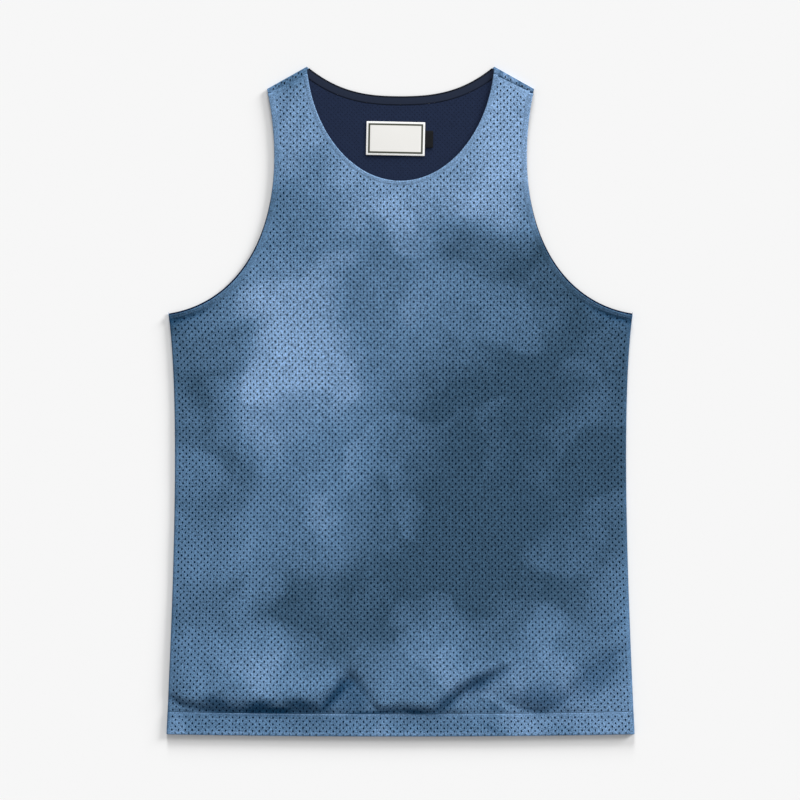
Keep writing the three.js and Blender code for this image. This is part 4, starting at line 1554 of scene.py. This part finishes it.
class JERSEY_OT_stitches(bpy.types.Operator):
    """Sew the needle lines of the hems, edges and label, stitch by stitch"""

    bl_idname = "jersey.stitches"
    bl_label = "Stitches"

    def execute(self, context):
        sizes = context.scene.jersey_sizes
        colours = context.scene.jersey_colours
        thread = thread_material("Blue Thread", colours.thread)
        pitch = sizes.stitch_length
        half = HEM_HALF - HEM_STITCHES_FROM_SIDE
        for name, sign in (("front_hem_stitches", 1), ("back_hem_stitches", -1)):
            run = []
            for length in (HEM_STITCHES_UNDER_SEAM, GROOVE):
                for x in np.arange(-half, half, pitch):
                    run.append((Vector((x, -length)), Vector((x + pitch * STITCH_SHARE, -length))))
            mesh = stitch_mesh(run, HEM_THREAD, 0.0)
            mesh = reshaped(mesh, lambda points, sign=sign: hem_form(points, sign), flipped=sign < 0)
            add_piece(name, mesh, thread, "turned_bands")
        neck = below_seam(whole_neck(FRONT_NECK), 0.0005)
        edge = along_line(moved(neck, -(sizes.neck_band - NECK_STITCHES_FROM_BORDER)), pitch)
        arm = below_seam(ARMHOLE, 0.0005)
        right = along_line(moved(arm, -(sizes.armhole_band - ARMHOLE_STITCHES_FROM_BORDER)), pitch)
        edge += right
        edge += [(Vector((-a.x, a.y)), Vector((-b.x, b.y))) for a, b in right]
        mesh = stitch_mesh(edge, EDGE_THREAD, FRONT_LEVEL + 0.0001)
        add_piece("edge_stitches", mesh, thread, "turned_bands")
        white = thread_material("White Thread", colours.label_border)
        wide = LABEL_WIDE / 2 - LABEL_STITCHES_FROM_EDGE
        tall = LABEL_TALL / 2 - LABEL_STITCHES_FROM_EDGE
        signs = ((-1, -1), (1, -1), (1, 1), (-1, 1), (-1, -1))
        corners = [Vector((sx * wide, sy * tall)) for sx, sy in signs]
        run = []
        for a, b in zip(corners, corners[1:]):
            count = round((b - a).length / LABEL_STITCH)
            for k in range(count):
                run.append((a.lerp(b, k / count), a.lerp(b, (k + LABEL_STITCH_SHARE) / count)))
        mesh = reshaped(
            stitch_mesh(run, LABEL_THREAD, 0.00028),
            lambda points: label_place(points, 0, LABEL_LEVEL, LABEL_BOW))
        add_piece("label_stitches", mesh, white, "label")
        return {"FINISHED"}


def lengths_along(line):
    """The length of a line up to each of its points."""
    return np.concatenate([[0], np.cumsum([(b - a).length for a, b in zip(line, line[1:])])])


def along_line(line, pitch):
    """Pairs of points, a stitch apart, along a finely divided line."""
    lengths = lengths_along(line)
    xs = np.array([p.x for p in line])
    ys = np.array([p.y for p in line])

    def at(distance):
        return Vector((np.interp(distance, lengths, xs), np.interp(distance, lengths, ys)))

    return [(at(d), at(d + pitch * STITCH_SHARE)) for d in np.arange(0, lengths[-1] - pitch, pitch)]


def stitch_mesh(pairs, radius, level):
    """One small rounded stitch between each pair of points, all in one mesh."""
    bm = bmesh.new()
    for a, b in pairs:
        made = bmesh.ops.create_uvsphere(bm, u_segments=6, v_segments=4, radius=1.0)["verts"]
        along = b - a
        angle = math.atan2(along.y, along.x)
        for v in made:
            x, y, z = v.co.z * along.length / 2, v.co.x * radius, v.co.y * radius
            v.co = (
                (a.x + b.x) / 2 + x * math.cos(angle) - y * math.sin(angle),
                (a.y + b.y) / 2 + x * math.sin(angle) + y * math.cos(angle),
                z + level)
    bmesh.ops.recalc_face_normals(bm, faces=bm.faces)
    return mesh_of(bm, "stitches")


def reshaped(mesh, form, painted_light=None, flipped=False):
    """Gives a finished mesh another form, and its painted light and shade. A form that mirrors the mesh needs
    it flipped.
    """
    bm = bmesh.new()
    bm.from_mesh(mesh)
    bpy.data.meshes.remove(mesh)
    if flipped:
        bmesh.ops.reverse_faces(bm, faces=bm.faces)
    return shaped(bm, form, painted_light)


def cut_area(neck, low):
    """The flat area of a panel or lining from its neckline down to the height low."""
    side = [p for p in SIDE_SEAM if p.y > low]
    half = neck[::-1] + ARMHOLE + side + [Vector((side[-1].x, low)), Vector((0, low))]
    return abs(sum(a.cross(b) for a, b in zip(half, half[1:] + half[:1])))


class JERSEY_OT_cloth_cuts(bpy.types.Operator):
    """Work out the flat cut of each cloth piece, what it rests on and the trims sewn on it, and keep none of
    it
    """

    bl_idname = "jersey.cloth_cuts"
    bl_label = "Cloth Cuts"

    def execute(self, context):
        turn = hem_height()
        seam = BOTTOM + turn
        panel = (2 * HEM_HALF, TOP - seam)
        lining = (2 * CHEST_HALF, TOP - BOTTOM)
        hem = (2 * HEM_HALF, 2 * turn)
        wrap = ((SHOULDER_TIP - NECK_POINT).length, WRAP_FRONT + WRAP_TURN + BACK_FLAP)
        sides = ("right", "left")
        front_edges = ["neck_band", "edge_stitches"] + [f"armhole_edge_{side}" for side in sides]
        back_edges = ["neck_band_back"] + [f"armhole_edge_back_{side}" for side in sides]
        trims = ["neck_tape", "sewn_label", "label_stitches", "side_tab"]
        self.cut("front_mesh", panel, "laid", ["front_lining"], front_edges, cut_area(FRONT_NECK, seam))
        self.cut("back_mesh", panel, "laid", ["floor"], back_edges, cut_area(BACK_NECK, seam))
        self.cut("front_hem_fold", hem, "folded", ["front_lining"], ["front_hem_stitches"])
        self.cut("back_hem_fold", hem, "folded", ["floor"], ["back_hem_stitches"])
        self.cut("front_lining_mesh", lining, "laid", ["back_mesh"], [], cut_area(FRONT_NECK, BOTTOM))
        self.cut("back_lining_mesh", lining, "laid", ["back_mesh"], trims, cut_area(BACK_NECK, BOTTOM))
        for side in sides:
            self.cut(f"shoulder_wrap_{side}", wrap, "folded", ["front_lining", "back_lining"], [])
        return {"FINISHED"}

    def cut(self, name, flat, held, rests_on, trims, area=None):
        """Takes one sheet and the names of the trims that go with it, and does nothing with them."""


class JERSEY_OT_studio(bpy.types.Operator):
    """Set the pale floor, the soft lights from the top and the right, and the camera straight above"""

    bl_idname = "jersey.studio"
    bl_label = "Studio"

    def execute(self, context):
        scene = context.scene
        bm = bmesh.new()
        bmesh.ops.create_grid(bm, x_segments=1, y_segments=1, size=FLOOR_HALF)
        floor = add_object("floor", mesh_of(bm, "floor"))
        floor.data.materials.append(floor_material())

        for lamp in LAMPS:
            sun = bpy.data.lights.new(lamp["name"], "SUN")
            sun.energy = lamp["strength"]
            sun.angle = math.radians(lamp["spread"])
            placed = add_object(lamp["name"], sun)
            azimuth, height = math.radians(lamp["azimuth"]), math.radians(lamp["height"])
            towards = Vector((
                math.cos(height) * math.cos(azimuth), math.cos(height) * math.sin(azimuth), math.sin(height)))
            placed.rotation_mode = "QUATERNION"
            placed.rotation_quaternion = towards.to_track_quat("Z", "Y")

        world = bpy.data.worlds.new("studio")
        world.use_nodes = True
        world.node_tree.nodes["Background"].inputs["Color"].default_value = (1, 1, 1, 1)
        world.node_tree.nodes["Background"].inputs["Strength"].default_value = SKY_STRENGTH
        scene.world = world
        scene.view_settings.view_transform = "Standard"

        camera_data = bpy.data.cameras.new("camera")
        camera_data.sensor_width = FILM_WIDTH
        camera_data.lens = FILM_WIDTH * CAMERA_HEIGHT / VIEW_WIDTH
        camera = add_object("camera", camera_data)
        camera.location = (*VIEW_MIDDLE, CAMERA_HEIGHT)
        scene.camera = camera
        return {"FINISHED"}


class JERSEY_PT_panel(bpy.types.Panel):
    """The jersey's settings and operators in the 3D view's sidebar"""

    bl_idname = "JERSEY_PT_panel"
    bl_label = "Mesh Jersey"
    bl_space_type = "VIEW_3D"
    bl_region_type = "UI"
    bl_category = "Jersey"

    def draw(self, context):
        layout = self.layout
        for settings in (context.scene.jersey_sizes, context.scene.jersey_colours):
            box = layout.box()
            for name in settings.__annotations__:
                box.prop(settings, name)
        for operator in OPERATORS:
            layout.operator(operator.bl_idname)


OPERATORS = (
    JERSEY_OT_outer_panels,
    JERSEY_OT_hems,
    JERSEY_OT_linings,
    JERSEY_OT_edge_bands,
    JERSEY_OT_shoulders,
    JERSEY_OT_neck_trims,
    JERSEY_OT_stitches,
    JERSEY_OT_cloth_cuts,
    JERSEY_OT_studio,
)
CLASSES = (JerseySizes, JerseyColours, *OPERATORS, JERSEY_PT_panel)


def register():
    """Makes the settings, the operators and the panel known to Blender."""
    for cls in CLASSES:
        bpy.utils.register_class(cls)
    bpy.types.Scene.jersey_sizes = PointerProperty(type=JerseySizes)
    bpy.types.Scene.jersey_colours = PointerProperty(type=JerseyColours)


def unregister():
    """Takes them out again."""
    del bpy.types.Scene.jersey_sizes
    del bpy.types.Scene.jersey_colours
    for cls in reversed(CLASSES):
        bpy.utils.unregister_class(cls)


def main():
    """Builds every piece in order."""
    register()
    for operator in OPERATORS:
        getattr(bpy.ops.jersey, operator.bl_idname.split(".")[1])()


if __name__ == "__main__":
    main()
